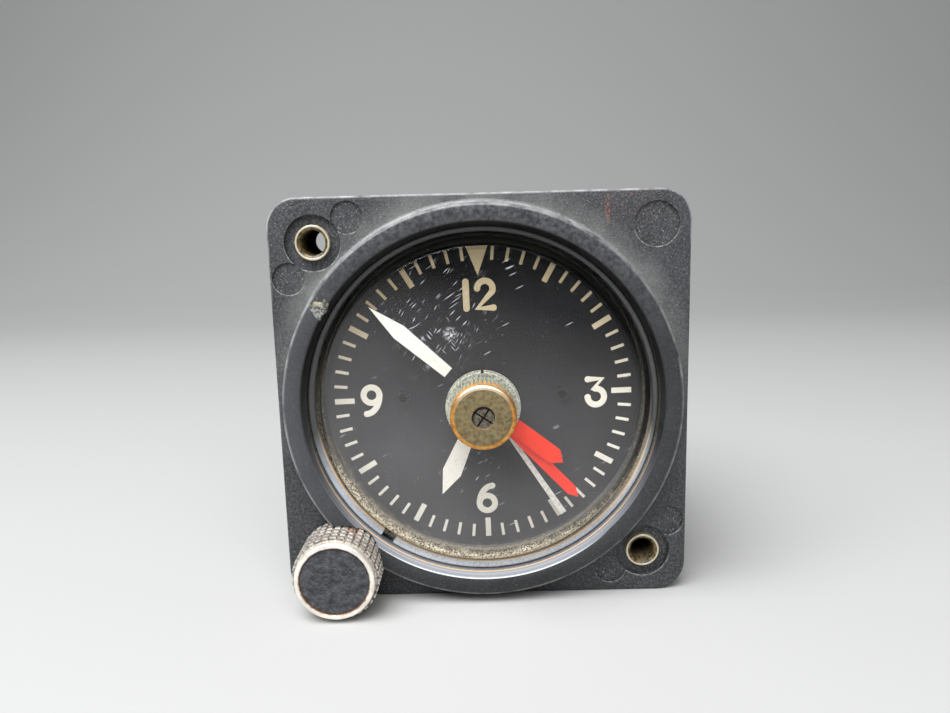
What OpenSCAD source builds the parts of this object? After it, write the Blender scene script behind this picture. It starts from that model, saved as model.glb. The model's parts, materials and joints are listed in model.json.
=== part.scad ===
// Panel clock with an eight-day movement, for a 57 mm instrument opening.
// Each piece is drawn lying face up: x to the right, y towards 12 o'clock and z towards the
// viewer, with z = 0 on the front of the flange. upright() then stands it on the flange.
// Angles of arbors are seen from the front and count from 3 o'clock, against the clock.

/* [Flange and bezel] */
// Width and height of the square flange
flange_w = 60; // [59.8:0.1:61]
// Thickness of the flange
flange_t = 5; // [4.8:0.1:5.2]
// Radius of the flange corners
flange_corner_r = 4.4; // [3:0.1:5]
// Distance between neighbouring screw centres
screw_spacing = 47.2; // [46.8:0.1:47.6]
// Outer diameter of the round bezel
bezel_d = 57.2; // [57:0.1:57.6]
// Height of the bezel above the flange
bezel_h = 3.5; // [3.3:0.1:3.7]
// Diameter of the view through the bezel
view_d = 51; // [50.8:0.1:51.6]

/* [Case] */
// Outer diameter of the case behind the flange
case_d = 56.8; // [56.4:0.1:57.2]
// Inner diameter of the case behind the dial
movement_space_d = 51.2; // [51:0.1:51.6]
// Depth of the front housing behind the front of the flange
housing_depth = 11.5; // [11.4:0.1:12.5]
// Depth of the whole case behind the front of the flange
case_depth = 36; // [35.5:0.5:42]
// Thickness of the wall of the rear can
can_wall = 1.4; // [1.2:0.1:1.6]

/* [Crystal] */
// Diameter of the crystal
crystal_d = 50.8; // [50.6:0.1:50.9]
// Thickness of the crystal
crystal_t = 1.2; // [1:0.05:1.3]
// Height of the crystal's flat front above the flange
crystal_front = 3.2; // [3.1:0.05:3.3]
// Thickness of the split retaining ring
ring_t = 1; // [0.8:0.05:1.1]
// Width of the split retaining ring
ring_w = 1.55; // [1.4:0.05:1.7]
// Gap between the ends of the retaining ring
ring_gap = 2.2; // [1:0.1:3]
// Thickness of the crystal gasket
gasket_t = 0.7; // [0.5:0.05:0.8]

/* [Dial and hands] */
// Depth of the dial's face behind the flange front
dial_depth = 4; // [3.95:0.05:4.1]
// Thickness of the dial
dial_t = 0.5; // [0.4:0.05:0.6]
// Length of the minute hand from the centre
minute_len = 21; // [19:0.1:21.5]
// Length of the hour hand from the centre
hour_len = 15.6; // [13:0.1:17]
// Length of the sweep second hand from the centre
second_len = 21.6; // [19:0.1:22]
// Length of the red minute pointer
red_minute_len = 20.1; // [18:0.1:21]
// Length of the red hour pointer
red_hour_len = 14.7; // [12:0.1:16]
// Clock angle of the minute hand at rest, from 12 o'clock
minute_angle = 311.8; // [0:0.1:360]
// Clock angle of the hour hand at rest
hour_angle = 204; // [0:0.1:360]
// Clock angle of the second hand at rest
second_angle = 147; // [0:0.1:360]
// Clock angle of the red minute pointer at rest
red_minute_angle = 136.6; // [0:0.1:360]
// Clock angle of the red hour pointer at rest
red_hour_angle = 128.3; // [0:0.1:360]

/* [Pointer knob] */
// Diameter of the centre knob over its serrations
pointer_knob_d = 9.06; // [9:0.02:9.4]
// Height of the centre knob
pointer_knob_h = 5.8; // [5.6:0.1:6.4]
// Number of serrations round the centre knob
serrations = 48; // [36:1:60]
// Diameter of the bushing's flange on the crystal
bushing_flange_d = 10.7; // [10:0.1:11.4]

/* [Winding knob] */
// Place of the winding stem across the flange
stem_x = -21.6; // [-21.7:0.05:-21.5]
// Place of the winding stem up the flange
stem_y = -23.6; // [-23.7:0.05:-23.5]
// Diameter of the winding knob
knob_d = 11.5; // [11.2:0.1:11.8]
// Height of the winding knob
knob_h = 7.8; // [7.4:0.1:9]
// Number of knurl bumps round the winding knob
knurl_count = 52; // [40:2:60]
// Number of rows of knurl bumps
knurl_rows = 7; // [5:1:8]
// Diameter of the winding stem
stem_d = 2.4; // [2:0.1:2.6]

/* [Movement] */
// Diameter of the two movement plates
plate_d = 50.4; // [50:0.1:50.6]
// Thickness of each plate
plate_t = 1.8; // [1.7:0.1:1.9]
// Space between the plates
plate_gap = 13.2; // [13.2:0.1:13.6]
// Diameter of the pillars between the plates
pillar_d = 4; // [3.6:0.1:4.2]
// Running clearance of a pivot in its hole
pivot_play = 0.04; // [0.03:0.01:0.05]
// Radius of the balance
balance_r = 5.2; // [4.8:0.1:5.6]

/* [Hidden] */
$fn = 72;
cut = 0.5;          // how far a cutting shape runs past the face that it cuts
gap = 0.1;          // gap of a drop-in fit
end_play = 0.1;     // end play of an arbor between its bearings

phenolic = "#2b2c2f";
black = "#26272a";
brass = "#b08a3e";
steel = "#8f9194";
blued = "#5d6a78";
white = "#e8e4d8";
red = "#d8402c";

// Steps inside the case, from the front to the back
ring_front = 0.1;
ring_back = ring_front - ring_t;
groove_play = 0.05;
crystal_back = ring_back - crystal_t;
gasket_back = crystal_back - gasket_t;
dial_front = -dial_depth;
dial_back = dial_front - dial_t;
motion_space = 2;
plate_front = dial_back - motion_space;
housing_back = -housing_depth;
can_flange_t = 1.5;
can_back = -case_depth;
can_bottom = can_back + can_wall;

bezel_r = bezel_d / 2;
view_r = view_d / 2;
case_r = case_d / 2;
space_r = movement_space_d / 2;
crystal_r = crystal_d / 2;
bore_r = crystal_r + gap;
groove_r = bore_r + 0.75;
dial_bore_r = 24;
web_r = 20.5;

// Levels of the movement
plate_rear = plate_front - plate_t;
back_front = plate_rear - plate_gap;
back_rear = back_front - plate_t;
keyless_t = 1;
winding_z = plate_rear - 1.4;
motion_t = 0.5;
minute_wheel_z = plate_front + 0.2;
hour_wheel_z = minute_wheel_z + 0.8;
drum_h = 6.2;
drum_front = plate_rear - 1.9;
drum_rear = drum_front - drum_h;
wheel_t = 0.5;
intermediate_z = drum_rear - 1;
centre_z = intermediate_z - 1.2;
third_z = centre_z - 1.2;
fourth_z = third_z - 1.1;
escape_z = back_rear - 1.7;
bridge_t = 1;
bridge_z = back_rear - 3.9;
balance_t = 0.8;
balance_z = bridge_z - 0.6 - balance_t;
hairspring_z = balance_z - 0.9;
cock_t = 1.4;
cock_z = hairspring_z - 0.7 - cock_t;

// Wheels and pinions: number of teeth and module
great_teeth = 72;
intermediate_leaves = 12;
great_m = 0.3;
intermediate_teeth = 60;
centre_leaves = 10;
intermediate_m = 0.25;
centre_teeth = 64;
third_leaves = 8;
centre_m = 0.24;
third_teeth = 60;
sweep_leaves = 8;
third_m = centre_m * (centre_teeth + third_leaves) / (third_teeth + sweep_leaves);
fourth_teeth = 60;
escape_leaves = 6;
fourth_m = 0.26;
escape_teeth = 15;
escape_r = 4;
stem_at = [stem_x, stem_y];
stem_r = norm(stem_at);
stem_reach = 79.98;   // distance of the stem from the middle, in modules of its wheels
keyless_m = stem_r / stem_reach;
stem_leaves = 14;
transfer_teeth = 42;
ratchet_teeth = 30;
cannon_leaves = 10;
minute_teeth = 30;
minute_leaves = 8;
hour_teeth = 32;

function spacing(m, a, b) = m * (a + b) / 2;
function polar(r, a) = [r * cos(a), r * sin(a)];
function bearing(from, to) = atan2(to[1] - from[1], to[0] - from[0]);

// Angle between sides a and b of a triangle
function corner_angle(a, b, opposite) = acos((a * a + b * b - opposite * opposite) / (2 * a * b));

// Turn of a wheel of n teeth at q that puts its gap on a tooth of the wheel at p, which has
// k teeth and the turn t
function mesh_turn(p, k, t, q, n) =
    let (a = bearing(p, q), lead = a - t - 360 / k * round((a - t) * k / 360))
    a + 180 + (180 + lead * k) / n;

// Places of the arbors
centre = [0, 0];
stem_a = bearing(centre, stem_at);
transfer_r = stem_r - spacing(keyless_m, stem_leaves, transfer_teeth);
transfer_at = polar(transfer_r, stem_a);
barrel_r = 31 * keyless_m;
barrel_a = stem_a + corner_angle(transfer_r, barrel_r, spacing(keyless_m, transfer_teeth, ratchet_teeth));
barrel_at = polar(barrel_r, barrel_a);
intermediate_r = spacing(intermediate_m, intermediate_teeth, centre_leaves);
intermediate_a = barrel_a
    + corner_angle(barrel_r, intermediate_r, spacing(great_m, great_teeth, intermediate_leaves));
intermediate_at = polar(intermediate_r, intermediate_a);
third_at = polar(spacing(centre_m, centre_teeth, third_leaves), 170);
minute_r = spacing(keyless_m, cannon_leaves, minute_teeth);
minute_a = stem_a + corner_angle(transfer_r, minute_r, spacing(keyless_m, transfer_teeth, minute_teeth));
minute_at = polar(minute_r, minute_a);
escape_a = 75;
escape_at = polar(spacing(fourth_m, fourth_teeth, escape_leaves), escape_a);
lever_reach = escape_r + 0.75;
lever_at = escape_at + polar(lever_reach, escape_a);
balance_at = lever_at + polar(3.2, escape_a);
pillar_places = [for (a = [15, 125, 190, 310]) polar(21.5, a)];
movement_screw_places = [for (a = [60, 160, 340]) polar(23, a)];
ear_places = [for (a = [45, 160, 290]) polar(28.6, a)];
ear_r = 2.4;
cock_foot = polar(21.5, 42);
dial_screw_x = 12.05;

// Turns that put the teeth in mesh
transfer_turn = mesh_turn(stem_at, stem_leaves, 0, transfer_at, transfer_teeth);
ratchet_turn = mesh_turn(transfer_at, transfer_teeth, transfer_turn, barrel_at, ratchet_teeth);
minute_turn = mesh_turn(centre, cannon_leaves, 0, minute_at, minute_teeth);
setting_turn = mesh_turn(minute_at, minute_teeth, minute_turn, transfer_at, transfer_teeth);
hour_turn = mesh_turn(minute_at, minute_leaves, 0, centre, hour_teeth);
intermediate_turn = mesh_turn(centre, centre_leaves, 0, intermediate_at, intermediate_teeth);
great_turn = mesh_turn(intermediate_at, intermediate_leaves, 0, barrel_at, great_teeth);
third_turn = mesh_turn(centre, centre_teeth, 0, third_at, third_leaves);
sweep_turn = mesh_turn(third_at, third_teeth, 0, centre, sweep_leaves);
escape_turn = mesh_turn(centre, fourth_teeth, 0, escape_at, escape_leaves);

// Radii of the arbors and of the centre stack
arbor_r = 0.4;
pivot_r = 0.3;
sweep_r = 0.35;
tube_bore_r = sweep_r + 0.06;
tube_r = 0.85;
cannon_r = 1.25;
hour_bore_r = cannon_r + pivot_play;
hour_pipe_r = 1.75;
barrel_arbor_r = 1;
barrel_pivot_r = 0.8;
stud_r = 0.8;
minute_stud_r = 0.5;
small_screw_r = 0.5;
screw_r = 0.8;

// Heights of the hands
hand_t = 0.2;
hour_hand_z = dial_front + 2.6;
minute_hand_z = dial_front + 3.3;
second_hand_z = dial_front + 3.95;
red_minute_z = dial_front + 4.6;
red_hour_z = dial_front + 5.1;

// The bushing and what turns in it
nut_t = 0.5;
nut_r = 3.4;
bush_bore_r = 1.25;
bush_r = 2.1;
crown_r = 1.42;
sleeve_r = bush_bore_r - pivot_play;
sleeve_bore_r = 0.85;
spindle_r = sleeve_bore_r - pivot_play;
bush_flange_t = 0.5;
bush_top = crystal_front + bush_flange_t;
bush_back = crystal_front - crystal_t - nut_t;
knob_back_z = bush_top + 0.15;
knob_front_z = knob_back_z + pointer_knob_h;
planet_leaves = 12;
crown_leaves = 22;
sleeve_leaves = 24;
planet_r = 2.6;
planet_at = polar(planet_r, 90);
planet_pin_r = 0.3;
crown_m = 2 * planet_r / (crown_leaves + planet_leaves);
sleeve_m = 2 * planet_r / (sleeve_leaves + planet_leaves);
crown_turn = mesh_turn(planet_at, planet_leaves, 0, centre, crown_leaves);
sleeve_turn = mesh_turn(planet_at, planet_leaves, 0, centre, sleeve_leaves);
crown_z = bush_top + 1;
sleeve_z = bush_top + 2;
pointer_gear_t = 0.7;
cavity_r = 3.85;
cavity_top = sleeve_z + pointer_gear_t + 0.3;
screw_seat_r = 1.55;
screw_seat_deep = 0.8;

// Winding knob, stem and pocket
knob_back = 0.75;
knob_front = knob_back + knob_h;
shaft_r = stem_d / 2;
stem_bush_r = 2.2;
stem_front = knob_front - 2;
cap_r = 4.95;
cap_recess = 0.9;
set_screw_r = 0.75;
set_screw_a = 60;
scallop_z = 0.45;
scallop_r = knob_d / 2 + 0.35;
transfer_pocket_r = keyless_m * (transfer_teeth / 2 + 1) + 0.4;
stem_pocket_r = keyless_m * (stem_leaves / 2 + 1) + 0.6;
pocket_wall = 1.5;
yoke_t = 0.5;
yoke_z = winding_z - 0.3 - yoke_t;

module upright() rotate([90, 0, 0]) children();

module at(p, z = 0) translate([p[0], p[1], z]) children();

module rod(from, to, r) translate([0, 0, min(from, to)]) cylinder(r = r, h = abs(to - from));

module hole(r) rod(-50, 20, r);

module tube(from, to, r, inner) difference() {
    rod(from, to, r);
    rod(min(from, to) - cut, max(from, to) + cut, inner);
}

// Outline of a wheel. share is the part of the pitch that a tooth takes up at the pitch circle,
// and tip and root are in modules.
module tooth_outline(teeth, m, share, tip, root) {
    pitch_r = m * teeth / 2;
    half = 180 / teeth * share;
    flank = [[pitch_r - root * m, half], [pitch_r, half], [pitch_r + tip * m, half * 0.35]];
    polygon([
        for (k = [0 : teeth - 1])
            for (c = [for (i = [0 : 2]) [flank[i][0], -flank[i][1]], for (i = [2 : -1 : 0]) flank[i]])
                polar(c[0], k * 360 / teeth + c[1])
    ]);
}

module wheel_outline(teeth, m, turn) rotate(turn) tooth_outline(teeth, m, 0.45, 1, 1.3);

module pinion(leaves, m, t, turn) linear_extrude(t) rotate(turn) tooth_outline(leaves, m, 0.36, 0.75, 1.35);

// Spoked wheel with a round hub
module spoked(teeth, m, t, turn, hub_r, arms = 5, arm_w = 0.7) {
    rim_r = m * teeth / 2 - 3 * m;
    linear_extrude(t) difference() {
        wheel_outline(teeth, m, turn);
        difference() {
            circle(r = rim_r);
            circle(r = hub_r);
            for (k = [0 : arms - 1]) rotate(k * 360 / arms)
                translate([0, -arm_w / 2]) square([rim_r + 1, arm_w]);
        }
    }
}

// Arbor between the plates, with a pivot at each end
module train_arbor(back_shoulder = back_front + end_play, back_end = back_rear) {
    rod(plate_rear - end_play, back_shoulder, arbor_r);
    rod(plate_front - 0.1, plate_rear - end_play, pivot_r);
    rod(back_shoulder, back_end, pivot_r);
}

// Slotted screw driven from the front: the head stands on z and the shank runs back to tip
module front_screw(z, head_r, head_t, shank_r, tip, slot = 0.3) difference() {
    union() {
        rod(z, z + head_t, head_r);
        rod(tip, z, shank_r);
    }
    translate([-head_r - cut, -slot / 2, z + head_t * 0.55]) cube([2 * (head_r + cut), slot, head_t]);
}

// The same screw driven from the back
module rear_screw(z, head_r, head_t, shank_r, tip)
    mirror([0, 0, 1]) front_screw(-z, head_r, head_t, shank_r, -tip);

insert_at = [-screw_spacing / 2, screw_spacing / 2];
insert_r = 2.5;
insert_bore_r = 1.75;
boss_r = 5.5;
recess_r = 4;
recess_deep = 0.9;
mark_deep = 0.2;
blank_at = [25.1, 25.1];
blank_r = 3.2;
pin_mark_r = 2.42;
pin_marks = [[-18.6, 27.05], [-27.3, 18.6], [27.3, -18.9], [18.7, -26.3]];

module flange_plate() {
    h = flange_w / 2 - flange_corner_r;
    translate([0, 0, -flange_t]) linear_extrude(flange_t) {
        square([flange_w, 2 * h], center = true);
        square([2 * h, flange_w], center = true);
        for (x = [-h, h], y = [-h, h]) translate([x, y]) circle(r = flange_corner_r);
    }
}

// Outline of the case behind the flange: the round barrel, the corner pocket and three ears
module case_outline() {
    circle(r = case_r);
    translate(transfer_at) circle(r = transfer_pocket_r + pocket_wall);
    translate(stem_at) circle(r = stem_pocket_r + pocket_wall);
    for (p = ear_places) translate(p) circle(r = ear_r);
}

// Bezel: a rounded outer edge, a face that slopes in, and a chamfer down to the inner wall
bezel_lip_z = 1.9;
bezel_face_r = 26;
bezel_round = 0.7;
module bezel_turning() rotate_extrude() polygon([
    [web_r, -flange_t], [bezel_r, -flange_t],
    for (a = [0 : 15 : 90]) [bezel_r - bezel_round, bezel_h - bezel_round] + polar(bezel_round, a),
    [bezel_face_r, bezel_h - 0.5], [view_r, bezel_lip_z], [view_r, -1], [web_r, -1]
]);

// Front housing: flange with a boss behind each insert, bezel, and the seats of ring, crystal,
// gasket and dial
module case() color(phenolic) upright() difference() {
    union() {
        flange_plate();
        bezel_turning();
        translate([0, 0, housing_back]) linear_extrude(housing_depth - 1) case_outline();
        for (s = [1, -1]) at(s * insert_at) rod(housing_back, -1, boss_r);
    }
    rod(bezel_h + cut, ring_front, view_r);
    rod(ring_front + groove_play, ring_back - groove_play, groove_r);
    rod(ring_back, gasket_back, bore_r);
    rod(gasket_back + cut, dial_back, dial_bore_r);
    rod(dial_back + cut, plate_front - cut, web_r);
    rod(plate_front, housing_back - cut, space_r);
    at(transfer_at) rod(-flange_t, housing_back - cut, transfer_pocket_r);
    at(stem_at) {
        rod(-flange_t, housing_back - cut, stem_pocket_r);
        rod(-flange_t - cut, bezel_h, stem_bush_r);
        rod(scallop_z, bezel_h + cut, scallop_r);
    }
    for (p = movement_screw_places) at(p) rod(plate_front - cut, plate_front + 1.6, screw_r);
    for (p = ear_places) at(p) rod(housing_back - cut, housing_back + 5, screw_r);
    for (s = [1, -1]) at(s * insert_at) {
        rod(housing_back - cut, cut, insert_r);
        rod(-recess_deep, cut, recess_r);
    }
    at(blank_at) rod(-mark_deep, cut, blank_r);
    for (p = pin_marks) at(p) rod(-mark_deep, cut, pin_mark_r);
}

// Rear can: a cup over the movement, on a flange with the outline of the housing
module rear_can() color(phenolic) upright() difference() {
    union() {
        translate([0, 0, housing_back - can_flange_t]) linear_extrude(can_flange_t) case_outline();
        rod(housing_back - cut, can_back + 1, space_r + can_wall);
        rod(can_back + 2, can_back, space_r + can_wall - 0.6);
    }
    rod(housing_back + cut, can_bottom, space_r);
    for (p = ear_places) at(p) rod(housing_back + cut, housing_back - can_flange_t - cut, screw_r + gap);
}

module rear_can_screws() color(steel) upright() for (p = ear_places) at(p)
    rear_screw(housing_back - can_flange_t, 1.4, 0.9, screw_r, housing_back + 4.5);

module threaded_inserts() color(brass) upright() for (s = [1, -1]) at(s * insert_at)
    tube(housing_back, 0, insert_r, insert_bore_r);

module stem_bushing() color(brass) upright() at(stem_at)
    tube(-flange_t, scallop_z, stem_bush_r, shaft_r + pivot_play);

// Cap-shaped crystal: a flat top, a steep side and a rim that the ring holds down
cap_top_r = 23.2;
cap_foot_r = 24.3;
crystal_hole_r = bush_r + 0.03;
module crystal() color("#dfe8ea", 0.35) upright() rotate_extrude() polygon([
    [crystal_hole_r, crystal_front], [cap_top_r - 0.6, crystal_front],
    [cap_top_r - 0.15, crystal_front - 0.2], [cap_top_r + 0.1, crystal_front - 0.7],
    [cap_foot_r, ring_back], [crystal_r, ring_back], [crystal_r, crystal_back],
    [cap_foot_r - 0.9, crystal_back], [cap_top_r - 1.05, crystal_front - crystal_t],
    [crystal_hole_r, crystal_front - crystal_t]
]);

module crystal_gasket() color("#1c1c1c") upright()
    tube(crystal_back, gasket_back, crystal_r, dial_bore_r + 0.3);

// Split ring, its gap at the lower left
ring_gap_a = 232;
module retaining_ring() color("#3c3d40") upright() difference() {
    tube(ring_front, ring_back, groove_r - groove_play, groove_r - groove_play - ring_w);
    rotate(ring_gap_a) translate([0, -ring_gap / 2, ring_back - cut])
        cube([groove_r, ring_gap, ring_t + 2 * cut]);
}

// Bushing through the crystal, with the fixed pinion that the planet in the knob rolls on
module crystal_bushing() color("#8d8b6a") upright() difference() {
    union() {
        rod(crystal_front, bush_top - 0.15, bushing_flange_d / 2);
        rod(crystal_front, bush_top, bushing_flange_d / 2 - 0.3);
        rod(bush_back, bush_top, bush_r);
        rod(bush_top - cut, crown_z + pointer_gear_t, crown_r);
        translate([0, 0, crown_z]) pinion(crown_leaves, crown_m, pointer_gear_t, crown_turn);
    }
    hole(bush_bore_r);
    translate([-0.2, bushing_flange_d / 2 - 0.5, crystal_front - cut]) cube([0.4, 1, 2]);
}

module bushing_nut() color(brass) upright() difference() {
    rod(bush_back, bush_back + nut_t, nut_r);
    hole(bush_r);
    for (a = [0, 180]) rotate(a) translate([nut_r - 0.7, -0.3, 0]) cube([1, 0.6, 5]);
}

module dial() color(black) upright() difference() {
    rod(dial_back, dial_front, dial_bore_r - gap);
    hole(hour_pipe_r + 0.5);
    for (x = [-dial_screw_x, dial_screw_x]) translate([x, 0, 0]) hole(small_screw_r + 0.05);
}

module dial_screws() color(black) upright() for (x = [-dial_screw_x, dial_screw_x]) translate([x, 0, 0])
    front_screw(dial_front, 1, 0.35, small_screw_r, plate_front + 0.2, 0.24);

// Hand with a round hub, laid out towards 12 o'clock and then turned clockwise
module hand_blank(z, hub_r, hole_r, angle) difference() {
    union() {
        rod(z, z + hand_t, hub_r);
        translate([0, 0, z]) rotate(-angle) linear_extrude(hand_t) children();
    }
    hole(hole_r);
}

// Lance: it widens from the hub to the shoulder and ends in a long point
module lance(length, shoulder_w, shoulder, root_w) {
    polygon([[-root_w / 2, 0], [-shoulder_w / 2, shoulder], [0, length],
        [shoulder_w / 2, shoulder], [root_w / 2, 0]]);
}

module hour_hand() color(white) upright()
    hand_blank(hour_hand_z, 2.5, hour_pipe_r, hour_angle) lance(hour_len, 2.9, hour_len - 3.5, 1.8);

module minute_hand() color(white) upright()
    hand_blank(minute_hand_z, 2.1, cannon_r, minute_angle) lance(minute_len, 2.3, minute_len - 5.4, 1.1);

module second_hand() color(white) upright() hand_blank(second_hand_z, 1.2, sweep_r, second_angle) polygon([
    [-0.25, 0], [-0.38, second_len], [0.38, second_len], [0.25, 0], [0.5, -6], [-0.5, -6]
]);

// Pointer with straight sides and a blunt point
module blade(length, w, nose) {
    polygon([[-w / 2, 0], [-w / 2, length - nose], [0, length], [w / 2, length - nose], [w / 2, 0]]);
}

module red_hour_pointer() color(red) upright()
    hand_blank(red_hour_z, 2, sleeve_r, red_hour_angle) blade(red_hour_len, 2.5, 1.5);

module red_minute_pointer() color(red) upright()
    hand_blank(red_minute_z, 1.6, spindle_r, red_minute_angle) blade(red_minute_len, 1.6, 1.4);

// Sleeve of the red hour pointer, up through the bushing to its pinion in the knob
module pointer_sleeve() color(steel) upright() difference() {
    union() {
        rod(red_hour_z, sleeve_z + pointer_gear_t, sleeve_r);
        translate([0, 0, sleeve_z]) pinion(sleeve_leaves, sleeve_m, pointer_gear_t, sleeve_turn);
    }
    hole(sleeve_bore_r);
}

// Two pinions in one: the lower rolls on the bushing's, the upper drives the sleeve's
module pointer_planet() color(brass) upright() at(planet_at) difference() {
    union() {
        translate([0, 0, crown_z]) pinion(planet_leaves, crown_m, pointer_gear_t, 0);
        rod(crown_z, sleeve_z + pointer_gear_t, 0.55);
        translate([0, 0, sleeve_z]) pinion(planet_leaves, sleeve_m, pointer_gear_t, 0);
    }
    hole(planet_pin_r + pivot_play);
}

// Coin-edged cup that carries the planet on a pin
serration_deep = 0.22;
knob_chamfer = 0.5;
module pointer_knob() color("#a98846") upright() {
    difference() {
        union() {
            translate([0, 0, knob_back_z]) linear_extrude(pointer_knob_h - knob_chamfer) polygon([
                for (k = [0 : 2 * serrations - 1])
                    polar(pointer_knob_d / 2 - (k % 2) * serration_deep, k * 180 / serrations)]);
            translate([0, 0, knob_front_z - knob_chamfer]) cylinder(
                r1 = pointer_knob_d / 2 - 0.28, r2 = pointer_knob_d / 2 - 0.6, h = knob_chamfer);
        }
        rod(knob_back_z - cut, cavity_top, cavity_r);
        rod(knob_front_z - screw_seat_deep, knob_front_z + cut, screw_seat_r);
        rod(cavity_top - cut, knob_front_z, spindle_r);
    }
    at(planet_at) rod(crown_z - 0.1, cavity_top + 0.1, planet_pin_r);
}

// Crossed-slot screw in the face of the knob. Its long shank carries the red minute pointer.
module pointer_knob_screw() color("#55585a") upright() difference() {
    union() {
        rod(knob_front_z - screw_seat_deep, knob_front_z - 0.15, screw_seat_r);
        rod(red_minute_z - 0.1, knob_front_z - screw_seat_deep, spindle_r);
    }
    for (a = [55, 145]) rotate(a) translate([-2, -0.11, knob_front_z - 0.5]) cube([4, 0.22, 1]);
}

// Rows of square bumps round a core, a smooth rim and a recess for the cap
knurl_deep = 0.32;
rim_t = 0.9;
row_pitch = (knob_h - rim_t - 0.2) / knurl_rows;
module knurl_row(h) linear_extrude(h) polygon([
    for (k = [0 : knurl_count - 1])
        for (s = [[-0.34, knurl_deep], [-0.18, 0], [0.18, 0], [0.34, knurl_deep]])
            polar(knob_d / 2 - s[1], (k + s[0]) * 360 / knurl_count)
]);

module winding_knob() color("#b9b6b0") upright() at(stem_at, knob_back) difference() {
    union() {
        rod(0, knob_h - rim_t, knob_d / 2 - knurl_deep);
        for (k = [0 : knurl_rows - 1]) translate([0, 0, 0.2 + k * row_pitch]) knurl_row(row_pitch * 0.68);
        rod(knob_h - rim_t, knob_h - 0.3, knob_d / 2);
        translate([0, 0, knob_h - 0.3]) cylinder(r1 = knob_d / 2, r2 = knob_d / 2 - 0.25, h = 0.3);
    }
    rod(knob_h - cap_recess, knob_h + cut, cap_r);
    rod(-cut, stem_front - knob_back, shaft_r);
    translate([0, 0, knob_h / 2]) rotate([0, 90, set_screw_a]) rod(0, knob_d, set_screw_r);
}

module knob_cap() color("#303134") upright() at(stem_at)
    rod(knob_front - cap_recess, knob_front - 0.25, cap_r);

module knob_set_screw() color("#7d5a3c") upright() at(stem_at, knob_back + knob_h / 2)
    rotate([0, 90, set_screw_a]) rod(shaft_r + 0.02, knob_d / 2 - 0.9, set_screw_r);

// Stem with its sliding pinion, drawn pushed in, and the head that draws the yoke along
module winding_stem() color(steel) upright() at(stem_at) {
    rod(yoke_z - 0.5, stem_front, shaft_r);
    rod(yoke_z - 0.5, yoke_z - 0.05, 1.8);
    translate([0, 0, winding_z]) pinion(stem_leaves, keyless_m, keyless_t, 0);
}

// Yoke that slides with the stem but doesn't turn, cut off where it passes the winding wheel
yoke_flat = 2.1;
module shift_yoke() color(steel) upright() at(stem_at) difference() {
    rod(yoke_z, yoke_z + yoke_t, stem_pocket_r - 0.3);
    hole(shaft_r + pivot_play);
    rotate(stem_a + 180) translate([yoke_flat, -5, yoke_z - cut]) cube([5, 10, yoke_t + 2 * cut]);
}

module transfer_wheel(z, t, turn) at(transfer_at, z) difference() {
    spoked(transfer_teeth, keyless_m, t, turn, 2, 5, 1.2);
    hole(stud_r + pivot_play);
}

module winding_wheel() color(brass) upright() transfer_wheel(winding_z, keyless_t, transfer_turn);

module setting_wheel() color(brass) upright() transfer_wheel(minute_wheel_z, motion_t, setting_turn);

square_w = 1.8;
module ratchet_wheel() color(steel) upright() at(barrel_at, winding_z) linear_extrude(keyless_t)
    difference() {
        wheel_outline(ratchet_teeth, keyless_m, ratchet_turn);
        square(square_w, center = true);
    }

// Click on its post, just clear of the ratchet teeth
click_at = barrel_at + polar(9.6, 20);
click_post_r = 0.6;
click_tip = barrel_at + polar(keyless_m * (ratchet_teeth / 2 + 1) + 0.25, 40);
click_len = norm(click_tip - click_at);
module click() color(steel) upright() at(click_at, winding_z) linear_extrude(keyless_t) difference() {
    union() {
        circle(r = 1.3);
        rotate(bearing(click_at, click_tip))
            polygon([[0, -0.9], [click_len, -0.25], [click_len, 0.1], [0, 0.9]]);
    }
    circle(r = click_post_r + pivot_play);
}

// Flat spring screwed under the plate, its free end behind the click
spring_at = click_at + polar(3.4, 60);
module click_spring() color(steel) upright() at(spring_at, winding_z) linear_extrude(keyless_t) difference() {
    union() {
        circle(r = 1);
        rotate(190) translate([0, -0.12]) square([5, 0.24]);
    }
    circle(r = small_screw_r);
}

module click_spring_screw() color(steel) upright() at(spring_at)
    rear_screw(winding_z, 0.9, 0.4, small_screw_r, plate_front - 0.3);

// Plate with the holes of the train's pivots and of the pillar screws
train_pivots = [[intermediate_at, pivot_r], [third_at, pivot_r], [barrel_at, barrel_pivot_r]];
module plate_disc(z, pivots) difference() {
    rod(z, z + plate_t, plate_d / 2);
    for (p = concat(train_pivots, pivots)) at(p[0]) hole(p[1] + pivot_play);
    for (p = pillar_places) at(p) hole(screw_r);
}

module front_plate() color(brass) upright() {
    difference() {
        plate_disc(plate_rear, [[escape_at, pivot_r], [centre, tube_r]]);
        for (p = pillar_places) at(p) rod(plate_front - 0.9, plate_front + cut, 1.7);
        for (p = movement_screw_places) at(p) hole(screw_r);
        at(spring_at) hole(small_screw_r);
    }
    at(transfer_at) {
        rod(winding_z - 0.3, plate_rear + cut, stud_r);
        rod(plate_front - cut, minute_wheel_z + motion_t + 0.2, stud_r);
    }
    at(minute_at) rod(plate_front - cut, dial_back - 0.2, minute_stud_r);
    at(click_at) rod(winding_z - 0.1, plate_rear + cut, click_post_r);
    for (x = [-dial_screw_x, dial_screw_x]) translate([x, 0, 0])
        tube(plate_front, dial_back, 1.1, small_screw_r);
}

module back_plate() color(brass) upright() difference() {
    plate_disc(back_rear, [[centre, pivot_r], [lever_at, pivot_r], [balance_at, pivot_r]]);
    at(escape_at) hole(2 * arbor_r);
    for (p = bridge_feet) at(p) hole(small_screw_r);
    at(cock_foot) hole(screw_r);
}

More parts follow.
